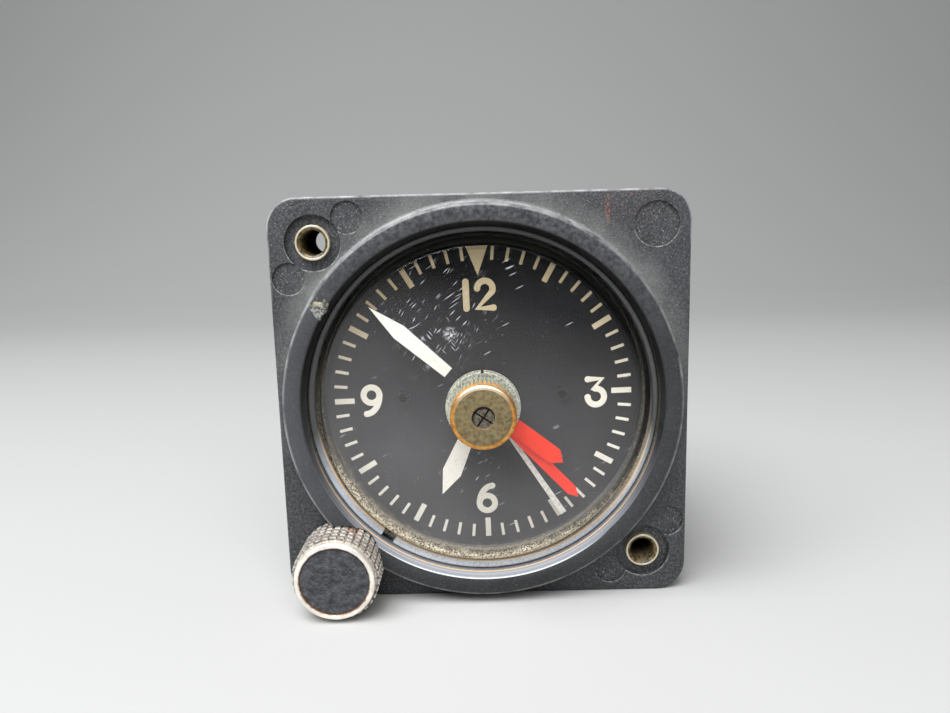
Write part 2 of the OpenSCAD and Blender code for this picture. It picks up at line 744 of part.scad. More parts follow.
// Pillars, tapped at both ends
pillar_tap = 2.5;
module pillars() color(brass) upright() for (p = pillar_places) at(p) difference() {
    rod(back_front, plate_rear, pillar_d / 2);
    rod(back_front - cut, back_front + pillar_tap, screw_r);
    rod(plate_rear - pillar_tap, plate_rear + cut, screw_r);
}

module pillar_screws() color(steel) upright() for (p = pillar_places) at(p) {
    front_screw(plate_front - 0.9, 1.6, 0.8, screw_r, plate_rear - pillar_tap + 0.2);
    rear_screw(back_rear, 1.6, 0.8, screw_r, back_front + pillar_tap - 0.2);
}

module movement_screws() color(steel) upright() for (p = movement_screw_places) at(p)
    rear_screw(plate_rear, 1.6, 0.9, screw_r, plate_front + 1.5);

// Barrel: a drum with the great wheel's teeth round its closed end
drum_r = 10;
drum_inner_r = 9.4;
great_t = 0.8;
cover_t = 0.6;
module barrel() color(brass) upright() at(barrel_at) difference() {
    union() {
        translate([0, 0, drum_rear]) linear_extrude(great_t) wheel_outline(great_teeth, great_m, great_turn);
        rod(drum_rear, drum_front, drum_r);
    }
    rod(drum_rear + great_t, drum_front + cut, drum_inner_r);
    hole(barrel_arbor_r + pivot_play);
}

module barrel_cover() color(brass) upright() at(barrel_at)
    tube(drum_front - cover_t, drum_front, drum_inner_r, barrel_arbor_r + pivot_play);

// Flat ribbon wound in a spiral
module spiral(r_in, r_out, turns, w, steps = 18) {
    total = turns * steps;
    function edge(i, side) = polar(r_in + (r_out - r_in) * i / total + side * w / 2, 360 * i / steps);
    polygon([for (i = [0 : total]) edge(i, 1), for (i = [total : -1 : 0]) edge(i, -1)]);
}

// Mainspring: its inner end on the hub of the arbor, its outer end against the wall of the drum
hub_r = 2;
ribbon_t = 0.3;
spring_z = drum_rear + great_t + 0.2;
module mainspring() color(blued) upright() at(barrel_at, spring_z)
    linear_extrude(drum_front - cover_t - 0.2 - spring_z)
        spiral(hub_r + ribbon_t / 2 + pivot_play, drum_inner_r - ribbon_t / 2, 8, ribbon_t);

module barrel_arbor() color(steel) upright() at(barrel_at) {
    rod(back_front + end_play, winding_z, barrel_arbor_r);
    rod(drum_rear + great_t + end_play, drum_front - cover_t - end_play, hub_r);
    translate([-square_w / 2, -square_w / 2, winding_z]) cube([square_w, square_w, keyless_t]);
    rod(winding_z, plate_front - 0.2, barrel_pivot_r);
    rod(back_rear, back_front + cut, barrel_pivot_r);
}

module intermediate_wheel() color(brass) upright() at(intermediate_at) {
    translate([0, 0, intermediate_z])
        spoked(intermediate_teeth, intermediate_m, wheel_t, intermediate_turn, 1.6);
    translate([0, 0, drum_rear - 0.2]) pinion(intermediate_leaves, great_m, great_t + 0.5, 0);
    train_arbor();
}

// Centre wheel on its tube, turning once an hour round the sweep arbor
tube_top = minute_hand_z + hand_t;
module centre_wheel() color(brass) upright() difference() {
    union() {
        translate([0, 0, centre_z]) spoked(centre_teeth, centre_m, wheel_t, 0, 1.8);
        translate([0, 0, intermediate_z - 0.3]) pinion(centre_leaves, intermediate_m, wheel_t + 0.6, 0);
        rod(centre_z - 0.3, tube_top, tube_r);
    }
    hole(tube_bore_r);
}

module third_wheel() color(brass) upright() at(third_at) {
    translate([0, 0, third_z]) spoked(third_teeth, third_m, wheel_t, 0, 1.5);
    translate([0, 0, centre_z - 0.2]) pinion(third_leaves, centre_m, wheel_t + 0.4, third_turn);
    train_arbor();
}

// Fourth wheel, whose arbor runs forward through the centre wheel and carries the second hand
module fourth_wheel() color(brass) upright() {
    translate([0, 0, fourth_z]) spoked(fourth_teeth, fourth_m, wheel_t, 0, 1.5);
    translate([0, 0, third_z - 0.2]) pinion(sweep_leaves, third_m, wheel_t + 0.4, sweep_turn);
    rod(back_front + end_play, second_hand_z + hand_t, sweep_r);
    rod(back_rear, back_front + cut, pivot_r);
}

module cannon_pinion() color(steel) upright() difference() {
    union() {
        translate([0, 0, minute_wheel_z - 0.1]) pinion(cannon_leaves, keyless_m, motion_t + 0.2, 0);
        rod(minute_wheel_z - 0.1, tube_top, cannon_r);
    }
    hole(tube_r);
}

module minute_wheel() color(brass) upright() at(minute_at) difference() {
    union() {
        translate([0, 0, minute_wheel_z]) linear_extrude(motion_t)
            wheel_outline(minute_teeth, keyless_m, minute_turn);
        translate([0, 0, minute_wheel_z]) pinion(minute_leaves, keyless_m, motion_t + 0.9, 0);
    }
    hole(minute_stud_r + pivot_play);
}

module hour_wheel() color(brass) upright() difference() {
    union() {
        translate([0, 0, hour_wheel_z]) linear_extrude(motion_t)
            wheel_outline(hour_teeth, keyless_m, hour_turn);
        rod(hour_wheel_z, hour_hand_z + hand_t, hour_pipe_r);
    }
    hole(hour_bore_r);
}

// Escape wheel with hooked teeth, on the arbor of the escape pinion
escape_tooth = [[0.76, 0], [0.8, 6], [1, 3], [1, 5.5], [0.76, 14]];
module escape_wheel() color(steel) upright() at(escape_at) {
    translate([0, 0, escape_z]) linear_extrude(wheel_t) difference() {
        rotate(escape_a) polygon([
            for (k = [0 : escape_teeth - 1], c = escape_tooth)
                polar(escape_r * c[0], (k + 0.3) * 360 / escape_teeth + c[1])
        ]);
        difference() {
            circle(r = escape_r * 0.62);
            circle(r = 0.9);
            for (a = [0, 90]) rotate(a) square([escape_r * 2, 0.5], center = true);
        }
    }
    translate([0, 0, fourth_z - 0.2]) pinion(escape_leaves, fourth_m, wheel_t + 0.4, escape_turn);
    train_arbor(bridge_z + bridge_t + end_play, bridge_z);
}

// Lever with two pallet arms and a fork, laid out from its pivot towards the balance
lever_t = 0.4;
module pallet_lever() color(steel) upright() at(lever_at, escape_z) rotate(escape_a) {
    linear_extrude(lever_t) {
        circle(r = 0.55);
        translate([-0.3, -0.3]) square([1.9, 0.6]);
        translate([1.4, -0.6]) square([0.3, 1.2]);
        for (s = [1, -1]) {
            translate([1.4, s * 0.45 - 0.15]) square([0.75, 0.3]);
            rotate(s * 112) translate([0, -0.22]) square([2.65, 0.44]);
        }
    }
    rod(bridge_z - escape_z, back_rear + plate_t / 2 - escape_z, pivot_r);
}

// Bridge over the escape wheel and the lever, on two feet
foot_gap = 6.2;
bridge_feet = [for (s = [1, -1]) escape_at + polar(0.6, escape_a) + polar(s * foot_gap, escape_a + 90)];
module escapement_bridge() color(brass) upright() difference() {
    union() {
        at(escape_at, bridge_z) rotate(escape_a) linear_extrude(bridge_t) {
            circle(r = 1.6);
            translate([0, -1.2]) square([lever_reach, 2.4]);
            translate([lever_reach, 0]) circle(r = 1.2);
            translate([-0.9, -foot_gap]) square([3, 2 * foot_gap]);
        }
        for (p = bridge_feet) at(p) rod(bridge_z, back_rear, 1.5);
    }
    for (p = [escape_at, lever_at]) at(p) hole(pivot_r + pivot_play);
    for (p = bridge_feet) at(p) hole(small_screw_r);
}

module bridge_screws() color(steel) upright() for (p = bridge_feet) at(p)
    rear_screw(bridge_z, 1.1, 0.5, small_screw_r, back_rear + 1.2);

// Balance: a rim on two arms, its staff, and the roller whose pin meets the lever's fork
staff_pivot_r = 0.25;
module balance_wheel() color("#b89a55") upright() at(balance_at) {
    translate([0, 0, balance_z]) linear_extrude(balance_t) {
        difference() {
            circle(r = balance_r);
            circle(r = balance_r - 0.7);
        }
        rotate(escape_a) square([2 * balance_r - 0.8, 0.8], center = true);
        circle(r = 1.1);
    }
    rod(cock_z + cock_t / 2, back_rear + plate_t / 2, staff_pivot_r);
    rod(cock_z + cock_t + end_play, back_rear - end_play, 0.45);
    rod(escape_z - 0.7, escape_z - 0.3, 1.15);
    rotate(escape_a) translate([-0.8, 0, 0]) rod(escape_z - 0.5, escape_z + lever_t, 0.12);
}

// Hairspring round the staff, its outer end on the stud under the cock
hairspring_r = 3.4;
module hairspring() color(blued) upright() at(balance_at, hairspring_z) rotate(escape_a + 180) {
    linear_extrude(0.25) spiral(0.75, hairspring_r, 6, 0.1);
    translate([hairspring_r, 0, 0]) rod(0.25, cock_z + cock_t - hairspring_z, 0.3);
}

module balance_cock() color(brass) upright() difference() {
    union() {
        at(balance_at, cock_z) {
            rod(0, cock_t, 1.8);
            rotate(bearing(balance_at, cock_foot)) translate([0, -1.3, 0])
                cube([norm(cock_foot - balance_at), 2.6, cock_t]);
            rotate(escape_a + 180) translate([0, -0.7, 0]) cube([hairspring_r + 0.8, 1.4, cock_t]);
        }
        at(cock_foot) rod(cock_z, back_rear, 2.4);
    }
    at(balance_at) hole(staff_pivot_r + pivot_play);
    at(cock_foot) hole(screw_r);
}

module cock_screw() color(steel) upright() at(cock_foot)
    rear_screw(cock_z, 1.5, 0.7, screw_r, back_rear + 1.4);

case();
rear_can();
rear_can_screws();
threaded_inserts();
stem_bushing();
crystal();
crystal_gasket();
retaining_ring();
crystal_bushing();
bushing_nut();
dial();
dial_screws();
hour_hand();
minute_hand();
second_hand();
red_hour_pointer();
pointer_sleeve();
red_minute_pointer();
pointer_planet();
pointer_knob();
pointer_knob_screw();
winding_knob();
knob_cap();
knob_set_screw();
winding_stem();
shift_yoke();
winding_wheel();
setting_wheel();
ratchet_wheel();
click();
click_spring();
click_spring_screw();
front_plate();
back_plate();
pillars();
pillar_screws();
movement_screws();
barrel();
barrel_cover();
mainspring();
barrel_arbor();
intermediate_wheel();
centre_wheel();
third_wheel();
fourth_wheel();
cannon_pinion();
minute_wheel();
hour_wheel();
escape_wheel();
pallet_lever();
escapement_bridge();
bridge_screws();
balance_wheel();
hairspring();
balance_cock();
cock_screw();
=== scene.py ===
# %% [markdown]
# # A small aircraft panel clock
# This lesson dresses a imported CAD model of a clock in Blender. The CAD has the movement, the case,
# the hands and the knobs. Here the case is modelled again with the soft edges of a moulding, the
# dial gets its print, and every piece gets a procedural finish with the wear of an old instrument.
# All lengths are in metres, the dial faces -Y, and +Z points to 12 o'clock.

# %% The frame
import json
import math

import bpy
import bmesh
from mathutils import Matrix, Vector


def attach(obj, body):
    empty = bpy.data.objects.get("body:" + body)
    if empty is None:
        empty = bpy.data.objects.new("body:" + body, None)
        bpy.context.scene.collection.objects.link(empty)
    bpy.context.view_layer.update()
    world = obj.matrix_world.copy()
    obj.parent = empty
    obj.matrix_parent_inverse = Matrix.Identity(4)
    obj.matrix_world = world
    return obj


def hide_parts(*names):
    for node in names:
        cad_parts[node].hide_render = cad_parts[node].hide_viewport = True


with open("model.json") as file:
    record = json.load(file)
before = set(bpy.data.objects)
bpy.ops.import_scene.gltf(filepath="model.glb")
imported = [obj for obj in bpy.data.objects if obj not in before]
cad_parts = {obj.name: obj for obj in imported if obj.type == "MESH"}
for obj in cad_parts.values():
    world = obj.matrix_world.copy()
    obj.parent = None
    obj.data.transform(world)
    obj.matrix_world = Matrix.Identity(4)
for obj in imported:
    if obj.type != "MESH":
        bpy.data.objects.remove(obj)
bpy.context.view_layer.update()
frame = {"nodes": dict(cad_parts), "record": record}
nodes = frame["nodes"]
MM = 0.001
print("CAD nodes:", len(nodes))

# %% [markdown]
# ## Sizes that the pieces share
# The levels are measured from the front of the flange towards the viewer, so a level of 3.5 mm
# is at Y = -3.5 mm. Most repeat the named sizes of the CAD source, and the photograph gave the rest.

# %% Sizes, in millimetres
FLANGE_W, FLANGE_T, CORNER_R = 60.0, 5.0, 4.4
BEZEL_R, BEZEL_H, VIEW_R = 28.6, 3.5, 25.5
FACE_R, LIP_H = 26.0, 1.9
DIAL_LEVEL = -4.0
RING_FRONT, RING_BACK = 0.1, -0.9
RING_GAP = math.radians(239)         # the split, anticlockwise from 3 o'clock
GROOVE_R = 26.25
HOUSING_BACK = -11.5
STEM = (-21.6, -23.6)
WINDING_WHEEL = (-14.0382, -15.3381)
KNOB_BACK, KNOB_FRONT = 0.75, 8.55
GRIP_R = 6.25                        # over the bumps of the winding knob
CORE_R = GRIP_R - 0.25
CENTRE_KNOB_TEETH = 48
INSERTS, INSERT_R = ((-23.6, 23.6), (23.6, -23.6)), 2.5
BLANK, BLANK_R = (25.1, 25.1), 3.2   # filled third hole
RECESS_R, MARK_DEPTH = 4.0, 0.35
PINS = ((-18.6, 27.05), (-27.3, 18.6), (27.3, -18.9), (18.7, -26.3))
PIN_R = 2.3                          # marks of the mould's ejector pins
PRINT_TURN = math.radians(1.03)      # the dial sits a degree anticlockwise in its case


def at(x, z, level=0.0):
    """A point in metres from millimetres across, up and towards the viewer."""
    return Vector((x * MM, -level * MM, z * MM))


# %% [markdown]
# ## Helpers for materials
# A colour is written as the sRGB hex value that an eye would pick, and one function turns it into
# the linear values that Blender calculates with. One more function adds a node and its links.
# The wear is painted in layers. A layer is a colour and a mask, and a mask is a product of shares,
# such as a band of distance from the dial's axis, a band of height, and a pattern of grains. Where a
# node has several sockets of one name they are numbered: a Map Range has its value at 0 and its two
# ranges at 1 to 4, and a Mix has its share at 0 and its two colours at 6 and 7.

# %% Colour and node helpers
def ink(code):
    """Linear RGBA from an sRGB hex value."""
    parts = [int(code[i:i + 2], 16) / 255 for i in (0, 2, 4)]
    return (*[c / 12.92 if c <= 0.04045 else ((c + 0.055) / 1.055) ** 2.4 for c in parts], 1.0)


def add(tree, kind, links=None, **settings):
    """Add a node. settings are its properties, links its inputs: values, sockets or hex colours."""
    made = tree.nodes.new("ShaderNode" + kind)
    for key, value in settings.items():
        setattr(made, key, value)
    for key, value in (links or {}).items():
        if isinstance(value, bpy.types.NodeSocket):
            tree.links.new(value, made.inputs[key])
        else:
            made.inputs[key].default_value = ink(value) if isinstance(value, str) else value
    return made


def finish(name, color, roughness=0.5, metallic=0.0, **inputs):
    """A material with one Principled shader. Gives the material, its tree, shader and coordinates."""
    material = bpy.data.materials.new(name)
    material.use_nodes = True
    tree = material.node_tree
    shader = tree.nodes["Principled BSDF"]
    shader.inputs["Base Color"].default_value = ink(color)
    shader.inputs["Roughness"].default_value = roughness
    shader.inputs["Metallic"].default_value = metallic
    for key, value in inputs.items():
        shader.inputs[key.replace("_", " ")].default_value = value
    return material, tree, shader, add(tree, "TexCoord").outputs["Object"]


# %% Masks, layers and measures
def mask(tree, *shares):
    """Where a layer shows: the product of shares. A share is a number, a socket, or (value, start,
    end), which is 0 where value is at start and 1 where it is at end."""
    product = None
    for share in shares:
        if isinstance(share, tuple):
            share = add(tree, "MapRange", dict(enumerate(share))).outputs[0]
        if product is not None:
            share = add(tree, "Math", {0: product, 1: share}, operation="MULTIPLY").outputs[0]
        product = share
    return product


def largest(tree, *masks):
    """One mask that covers what any of several masks cover."""
    cover = masks[0]
    for other in masks[1:]:
        cover = add(tree, "Math", {0: cover, 1: other}, operation="MAXIMUM").outputs[0]
    return cover


def summed(tree, total, *terms):
    """A sum. A term is a socket, or (socket, factor)."""
    for term in terms:
        term = mask(tree, *term) if isinstance(term, tuple) else term
        total = add(tree, "Math", {0: total, 1: term}, operation="ADD").outputs[0]
    return total


def layered(tree, color, *layers):
    """Lay colours over the first one. A layer is its colour, then the shares of its mask."""
    for over, *shares in layers:
        color = add(tree, "Mix", {0: mask(tree, *shares), 6: color, 7: over}, data_type="RGBA").outputs[2]
    return color


def grains(tree, place, size_mm, detail=3.0, low=0.4, high=0.6, rough=0.55):
    """Noise whose lumps are about size_mm across, spread between low and high to 0 and 1."""
    noise = add(tree, "TexNoise", {"Vector": place, "Scale": 1 / (size_mm * MM), "Detail": detail,
                                   "Roughness": rough})
    return mask(tree, (noise.outputs["Fac"], low, high))


def far_from(tree, place, x, z, level=None):
    """Distance in mm from a line along Y through (x, z), or from a point where a level is given."""
    spot = add(tree, "VectorMath", {0: place, 1: at(x, z, level or 0)}, operation="SUBTRACT").outputs[0]
    if level is None:
        spot = add(tree, "VectorMath", {0: spot, 1: (1, 0, 1)}, operation="MULTIPLY").outputs[0]
    length = add(tree, "VectorMath", {0: spot}, operation="LENGTH").outputs["Value"]
    return mask(tree, length, 1 / MM)


def nearest(tree, place, first, second):
    """Distance in mm from the nearer of two lines along Y."""
    return add(tree, "Math", {0: far_from(tree, place, *first), 1: far_from(tree, place, *second)},
               operation="MINIMUM").outputs[0]


def measured(tree, place):
    """Where a point is, in mm: across, up, towards the viewer, and away from the dial's axis."""
    spot = add(tree, "VectorMath", {0: place, 1: (1 / MM, -1 / MM, 1 / MM)}, operation="MULTIPLY").outputs[0]
    axes = add(tree, "SeparateXYZ", {0: spot}).outputs
    return axes[0], axes[2], axes[1], far_from(tree, place, 0, 0)


def coat(tree, shader, color, relief=None, depth_mm=0.02, strength=0.5, **inputs):
    """Link the finished colour, other inputs and a relief between 0 and 1 to the shader."""
    tree.links.new(color, shader.inputs["Base Color"])
    for key, value in inputs.items():
        tree.links.new(value, shader.inputs[key])
    if relief:
        bump = add(tree, "Bump", {"Strength": strength, "Distance": depth_mm * MM, "Height": relief})
        tree.links.new(bump.outputs[0], shader.inputs["Normal"])


# %% [markdown]
# ## Phenolic moulding
# The case is black phenolic, pressed in a steel mould and left unpainted. That gives a dense black
# with a dull sheen and a fine grain. Years of handling leave a grey bloom, pale dust in the grain,
# and edges that are rubbed light. Light and shade are painted into the colour too: painted
# highlights on upper edges and on the lower edges of recesses, painted light and shade on the
# bezel's face, and painted shade inside its top. The bezel's outer edge and its lip are rings round
# the middle of the dial, so their marks are a band of distance from it.

# %% The round part: painted light and shade, and the dust at its foot
def bezel_shade_and_dust(tree, place, bloom, color):
    """The round part is painted darker than the flange as shade on its inward-tilted face, lighter to
    the left and on top as painted light, and darker at the very bottom. Dust lies at its foot.
    """
    across, height, depth, middle = measured(tree, place)
    # painted shade on the bezel's face: lighter to the left as painted light, darker at the very bottom
    shade = layered(tree, "1c1d20", ("3c3e42", (across, -16, -27)), ("08090a", (height, -18, -26)))
    round_part = mask(tree, (middle, 28.75, 28.55), (depth, 0.1, 0.5))
    # the shade layer, then painted light on the top broken by grain, then dust at the foot
    return layered(
        tree, color, (shade, round_part, 0.8),
        ("5b5c61", round_part, (height, 8, 27), grains(tree, place, 0.6, 4, 0.35, 0.65), 0.75),
        ("8a8a86", (middle, 32.5, 29.0), (depth, 1.5, 0.3), (depth, -0.6, -0.1), (height, -14, 16),
         (bloom, -0.4, 1.0), 0.52))


# %% Edges: painted highlights, broken by wear
def lit_and_rubbed_edges(tree, place, color):
    """Pale rims: the bezel's edge, worn and with a painted highlight; painted highlights broken by
    wear on the bezel's upper foot, the flange's top outline, and the lower halves of the edges of
    recesses, blank and pin marks.
    """
    height, depth, middle = measured(tree, place)[1:]
    worn = grains(tree, place, 2.5, 5, 0.3, 0.62)
    # the bezel's rim: wear and a painted highlight; its foot: a painted highlight on the upper part only
    rim = mask(tree, (middle, 28.1, 28.4), (middle, 28.75, 28.6), (depth, 2.9, 3.2))
    foot = mask(tree, (middle, 28.55, 28.7), (middle, 29.3, 29.0), (depth, 0.05, 0.2), (height, -12, 6))
    # the outline is CORNER_R away from a smaller square through the centres of its rounded corners
    corner = (FLANGE_W / 2 - CORNER_R) * MM
    outward = add(tree, "VectorMath", {0: place}, operation="ABSOLUTE").outputs[0]
    outward = add(tree, "VectorMath", {0: outward, 1: (corner, 1, corner)}, operation="SUBTRACT").outputs[0]
    outward = add(tree, "VectorMath", {0: outward, 1: (0, 0, 0)}, operation="MAXIMUM").outputs[0]
    outward = add(tree, "VectorMath", {0: outward}, operation="LENGTH").outputs["Value"]
    # the flange's outline, only along the top: a painted highlight
    outline = mask(tree, (outward, 4.08 * MM, 4.3 * MM), (depth, -0.9, -0.3), (height, 12, 26))
    color = layered(tree, color, ("a3a3a2", largest(tree, rim, foot), worn, 0.6),
                    ("b2b3b4", outline, worn, 0.75))
    # a painted highlight along the lower half of each recess's edge, broken by ragged wear
    ragged = mask(tree, grains(tree, place, 0.7, 4, 0.38, 0.62), (depth, -0.25, -0.05), 0.7)
    recesses = [(*BLANK, BLANK_R), *[(*spot, RECESS_R) for spot in INSERTS],
                *[(*spot, PIN_R) for spot in PINS]]
    for x, z, radius in recesses:
        off = summed(tree, far_from(tree, place, x, z), -radius - 0.04)
        off = add(tree, "Math", {0: off}, operation="ABSOLUTE").outputs[0]
        color = layered(tree, color, ("a9a8a4", (off, 0.14, 0.03), ragged, (height, z, z - 2)))
    return color


# %% Inside the bezel
def inner_wall(tree, place, color):
    """A grimy wall, a cream lip, and a chamfer with streaks along it. Everything inside the face is
    near black towards the top as painted shade; wall and chamfer are grey towards the bottom as
    painted light, and a white painted highlight runs along the chamfer's outer edge at the bottom.
    """
    height, depth, middle = measured(tree, place)[1:]
    track = add(tree, "CombineXYZ", {0: middle, 1: depth}).outputs[0]
    streak = add(tree, "TexNoise", {"Vector": track, "Scale": 6.0, "Detail": 3.0}).outputs["Fac"]
    # the chamfer's grey with streaks, shown towards the bottom only: painted light
    streaks = layered(tree, "62656a", ("a2a5ab", (streak, 0.35, 0.65)))
    bottom = mask(tree, (height, -4, -20))
    grime = grains(tree, place, 0.3, 3)
    lit_low_wall = layered(tree, "6a6c70", (layered(tree, "86898e", ("a5a8ae", grime)), (depth, 0.95, 1.5)))
    # the wall: near black above as painted shade, grimy lower, grey at the bottom as painted light
    wall = layered(tree, "060605", ("6b6756", (height, 12, -2), grime), (lit_low_wall, bottom))
    # near black towards the top is painted shade; the last layer is a white painted highlight
    return layered(
        tree, color, ("060606", (middle, 26.25, 26.1), (height, -8, 6)),
        (wall, (middle, 25.62, 25.54), (depth, 1.8, 1.7)),
        (streaks, (middle, 26.12, 26.02), (depth, 1.95, 2.05), bottom, (height, 0, -24)),
        ("ecc79c", (middle, 25.66, 25.6), (depth, 1.72, 1.84), (depth, 2.05, 1.97), bottom, 0.85),
        ("e9ecef", (middle, 26.04, 26.1), (middle, 26.24, 26.18), (height, -19, -24), 0.8))


# %% Rust that ran from a screw, and one chip out of the rim, grey where it broke
def rust_and_chip(tree, place, color):
    height = measured(tree, place)[1]
    run = add(tree, "VectorMath", {0: place, 1: (1, 1, 0.22)}, operation="MULTIPLY").outputs[0]
    rust = largest(tree, mask(tree, (far_from(tree, place, 20.5, 28.6, 0), 5.5, 1),
                              grains(tree, place, 0.35, 3, 0.6, 0.68), 0.8),
                   mask(tree, (far_from(tree, run, 18.2, 6.0, 0), 0.5, 0.15),
                        grains(tree, place, 0.4, 3, 0.45, 0.62), 0.7))
    chip = summed(tree, far_from(tree, place, -22.5, 14.5, 3.4), (grains(tree, place, 0.8, 4, 0.2, 0.8), 1.7))
    bare = layered(tree, "3a3a3a", ("a6a6a2", grains(tree, place, 0.35, 3)), ("c3ba97", (height, 14.7, 15.7)))
    return layered(tree, color, ("8f5230", rust), (bare, (chip, 2.2, 1.8)))


# %% Phenolic case
def moulded_phenolic(name, front=True):
    """Dense black with a dull sheen. Its grain is under 0.1 mm, too fine to show, so it is drawn at
    0.2 to 0.4 mm."""
    material, tree, shader, place = finish(name, "3a3b3e", 0.5)
    bloom = grains(tree, place, 7, 5, 0.35, 0.68)
    color = layered(tree, "1b1c1f", ("2f3034", bloom),
                    ("4f5052", grains(tree, place, 0.4, 4, 0.42, 0.66), 0.7),
                    ("121214", grains(tree, place, 0.25, 3, 0.55, 0.64), 0.7),
                    ("a9a8a2", grains(tree, place, 0.22, 2, 0.64, 0.7), 0.6))
    if front:
        color = lit_and_rubbed_edges(tree, place, bezel_shade_and_dust(tree, place, bloom, color))
        color = rust_and_chip(tree, place, inner_wall(tree, place, color))
    sheen = add(tree, "MapRange", {0: bloom, 3: 0.4, 4: 0.62}).outputs[0]
    coat(tree, shader, color, grains(tree, place, 0.25, 3, 0.3, 0.7), 0.03, 0.9, Roughness=sheen)
    return material


phenolic = moulded_phenolic("phenolic, pressed in a steel mould")
can_phenolic = moulded_phenolic("phenolic, rear can", front=False)

# %% [markdown]
# ## Metals
# The knobs and the movement are brass and steel. A metal's colour is its reflection, so each is
# a metallic shader, and its age is in the colour and the roughness: brown-green patina where hands
# don't reach, and bright rubbed metal on the edges.

# %% Movement brass, steel and blued steel
def worked_metal(name, color, dark, roughness, grain_mm=0.4):
    """Machined metal: a clear reflection, blurred a little by tool marks and old lacquer. The tool
    marks are finer than 0.4 mm on the real parts and are drawn coarser to show."""
    material, tree, shader, place = finish(name, color, roughness, 1.0)
    spread = grains(tree, place, grain_mm * 8, 4, 0.3, 0.7)
    rough = add(tree, "MapRange", {0: spread, 3: roughness - 0.08, 4: roughness + 0.12}).outputs[0]
    coat(tree, shader, layered(tree, color, (dark, spread)), grains(tree, place, grain_mm, 2), 0.006, 0.4,
         Roughness=rough)
    return material


brass = worked_metal("brass, milled and lacquered", "b8954c", "8d6c33", 0.32)
steel = worked_metal("steel, ground", "a3a5a7", "77797c", 0.34)
blued_steel = worked_metal("spring steel, blued", "4a5c7d", "2f3b55", 0.3)


# %% Inserts: brown grime in the thread, painted shade deeper in the bore, a clean pale ring at the mouth
def insert_finish():
    material, tree, shader, place = finish("brass, threaded, grimy, painted shade inside", "b8954c", 0.4, 1.0)
    outside = mask(tree, (nearest(tree, place, *INSERTS), 2.18, 2.25))
    # brown grime in the thread, and darker deeper in the bore: painted shade
    color = layered(tree, "1d170d", ("75623a", grains(tree, place, 0.6, 4, 0.4, 0.62)),
                    ("1c160d", (measured(tree, place)[2], -0.8, -5.5)), ("d6cdb2", outside))
    coat(tree, shader, color, grains(tree, place, 0.3, 3), Metallic=mask(tree, (outside, 0.0, 1.3)))
    return material


grimy_shaded_brass = insert_finish()


# %% Patina on the centre knob
def knob_patina():
    """Olive-brown face with green specks, a bright rubbed front edge that is whitish on top as a
    painted highlight, and orange teeth with grime between.
    """
    material, tree, shader, place = finish("brass, turned, with patina", "8a7440", 0.45, 1.0)
    across, height, depth, middle = measured(tree, place)
    rim = largest(tree, mask(tree, (middle, 3.86, 3.98)), mask(tree, (depth, 9.3, 9.1)))
    # the bright rubbed edge, whitish on its top as a painted highlight
    worn = layered(tree, "b97a34", ("d59f56", grains(tree, place, 0.8, 3)),
                   ("f8e6cc", (height, 1.5, 4.2), (depth, 9.35, 9.5)))
    # 0 in a groove and 1 on a tooth, so that the grime climbs higher in the grooves
    turn = add(tree, "Math", {0: across, 1: height}, operation="ARCTAN2").outputs[0]
    tooth = add(tree, "Math", {0: mask(tree, turn, CENTRE_KNOB_TEETH / math.pi), 1: 1.0},
                operation="PINGPONG").outputs[0]
    grime = layered(tree, "737566", ("aeb0a0", grains(tree, place, 0.3, 3)))
    color = layered(tree, "5a4c30", ("7d6c49", grains(tree, place, 0.5, 5, 0.38, 0.62)),
                    ("6f7d5c", grains(tree, place, 0.6, 4, 0.54, 0.62), 0.5),
                    ("5b4f36", grains(tree, place, 0.25, 3, 0.55, 0.65), 0.6),
                    (worn, rim), (grime, (summed(tree, depth, (tooth, 3.0)), 9.4, 9.15)))
    bare = mask(tree, rim, (depth, 9.15, 9.45))
    coat(tree, shader, color, mask(tree, grains(tree, place, 0.25, 3), (bare, 1, 0)), 0.03, 0.7,
         Metallic=add(tree, "MapRange", {0: bare, 3: 0.3, 4: 0.9}).outputs[0],
         Roughness=add(tree, "MapRange", {0: bare, 3: 0.55, 4: 0.34}).outputs[0])
    return material


patina = knob_patina()


# %% Bushing: plated brass, corroded to a speckled grey-green, with a thin pale painted highlight round its edge
def bushing_finish():
    material, tree, shader, place = finish("brass, plated, dulled grey-green", "8b9079", 0.55, 0.35)
    speck = grains(tree, place, 0.3, 3, 0.4, 0.6)
    middle = far_from(tree, place, 0, 0)
    # the thin pale line at r 5 mm is a painted highlight
    color = layered(tree, "7b7c70", ("c1c1b4", speck),
                    ("9a9f8e", grains(tree, place, 0.9, 3, 0.5, 0.6), 0.5),
                    ("dcd4cc", (middle, 4.94, 5.0), (middle, 5.1, 5.04), 0.5))
    coat(tree, shader, color, speck, 0.03, 0.7)
    return material


bushing = bushing_finish()


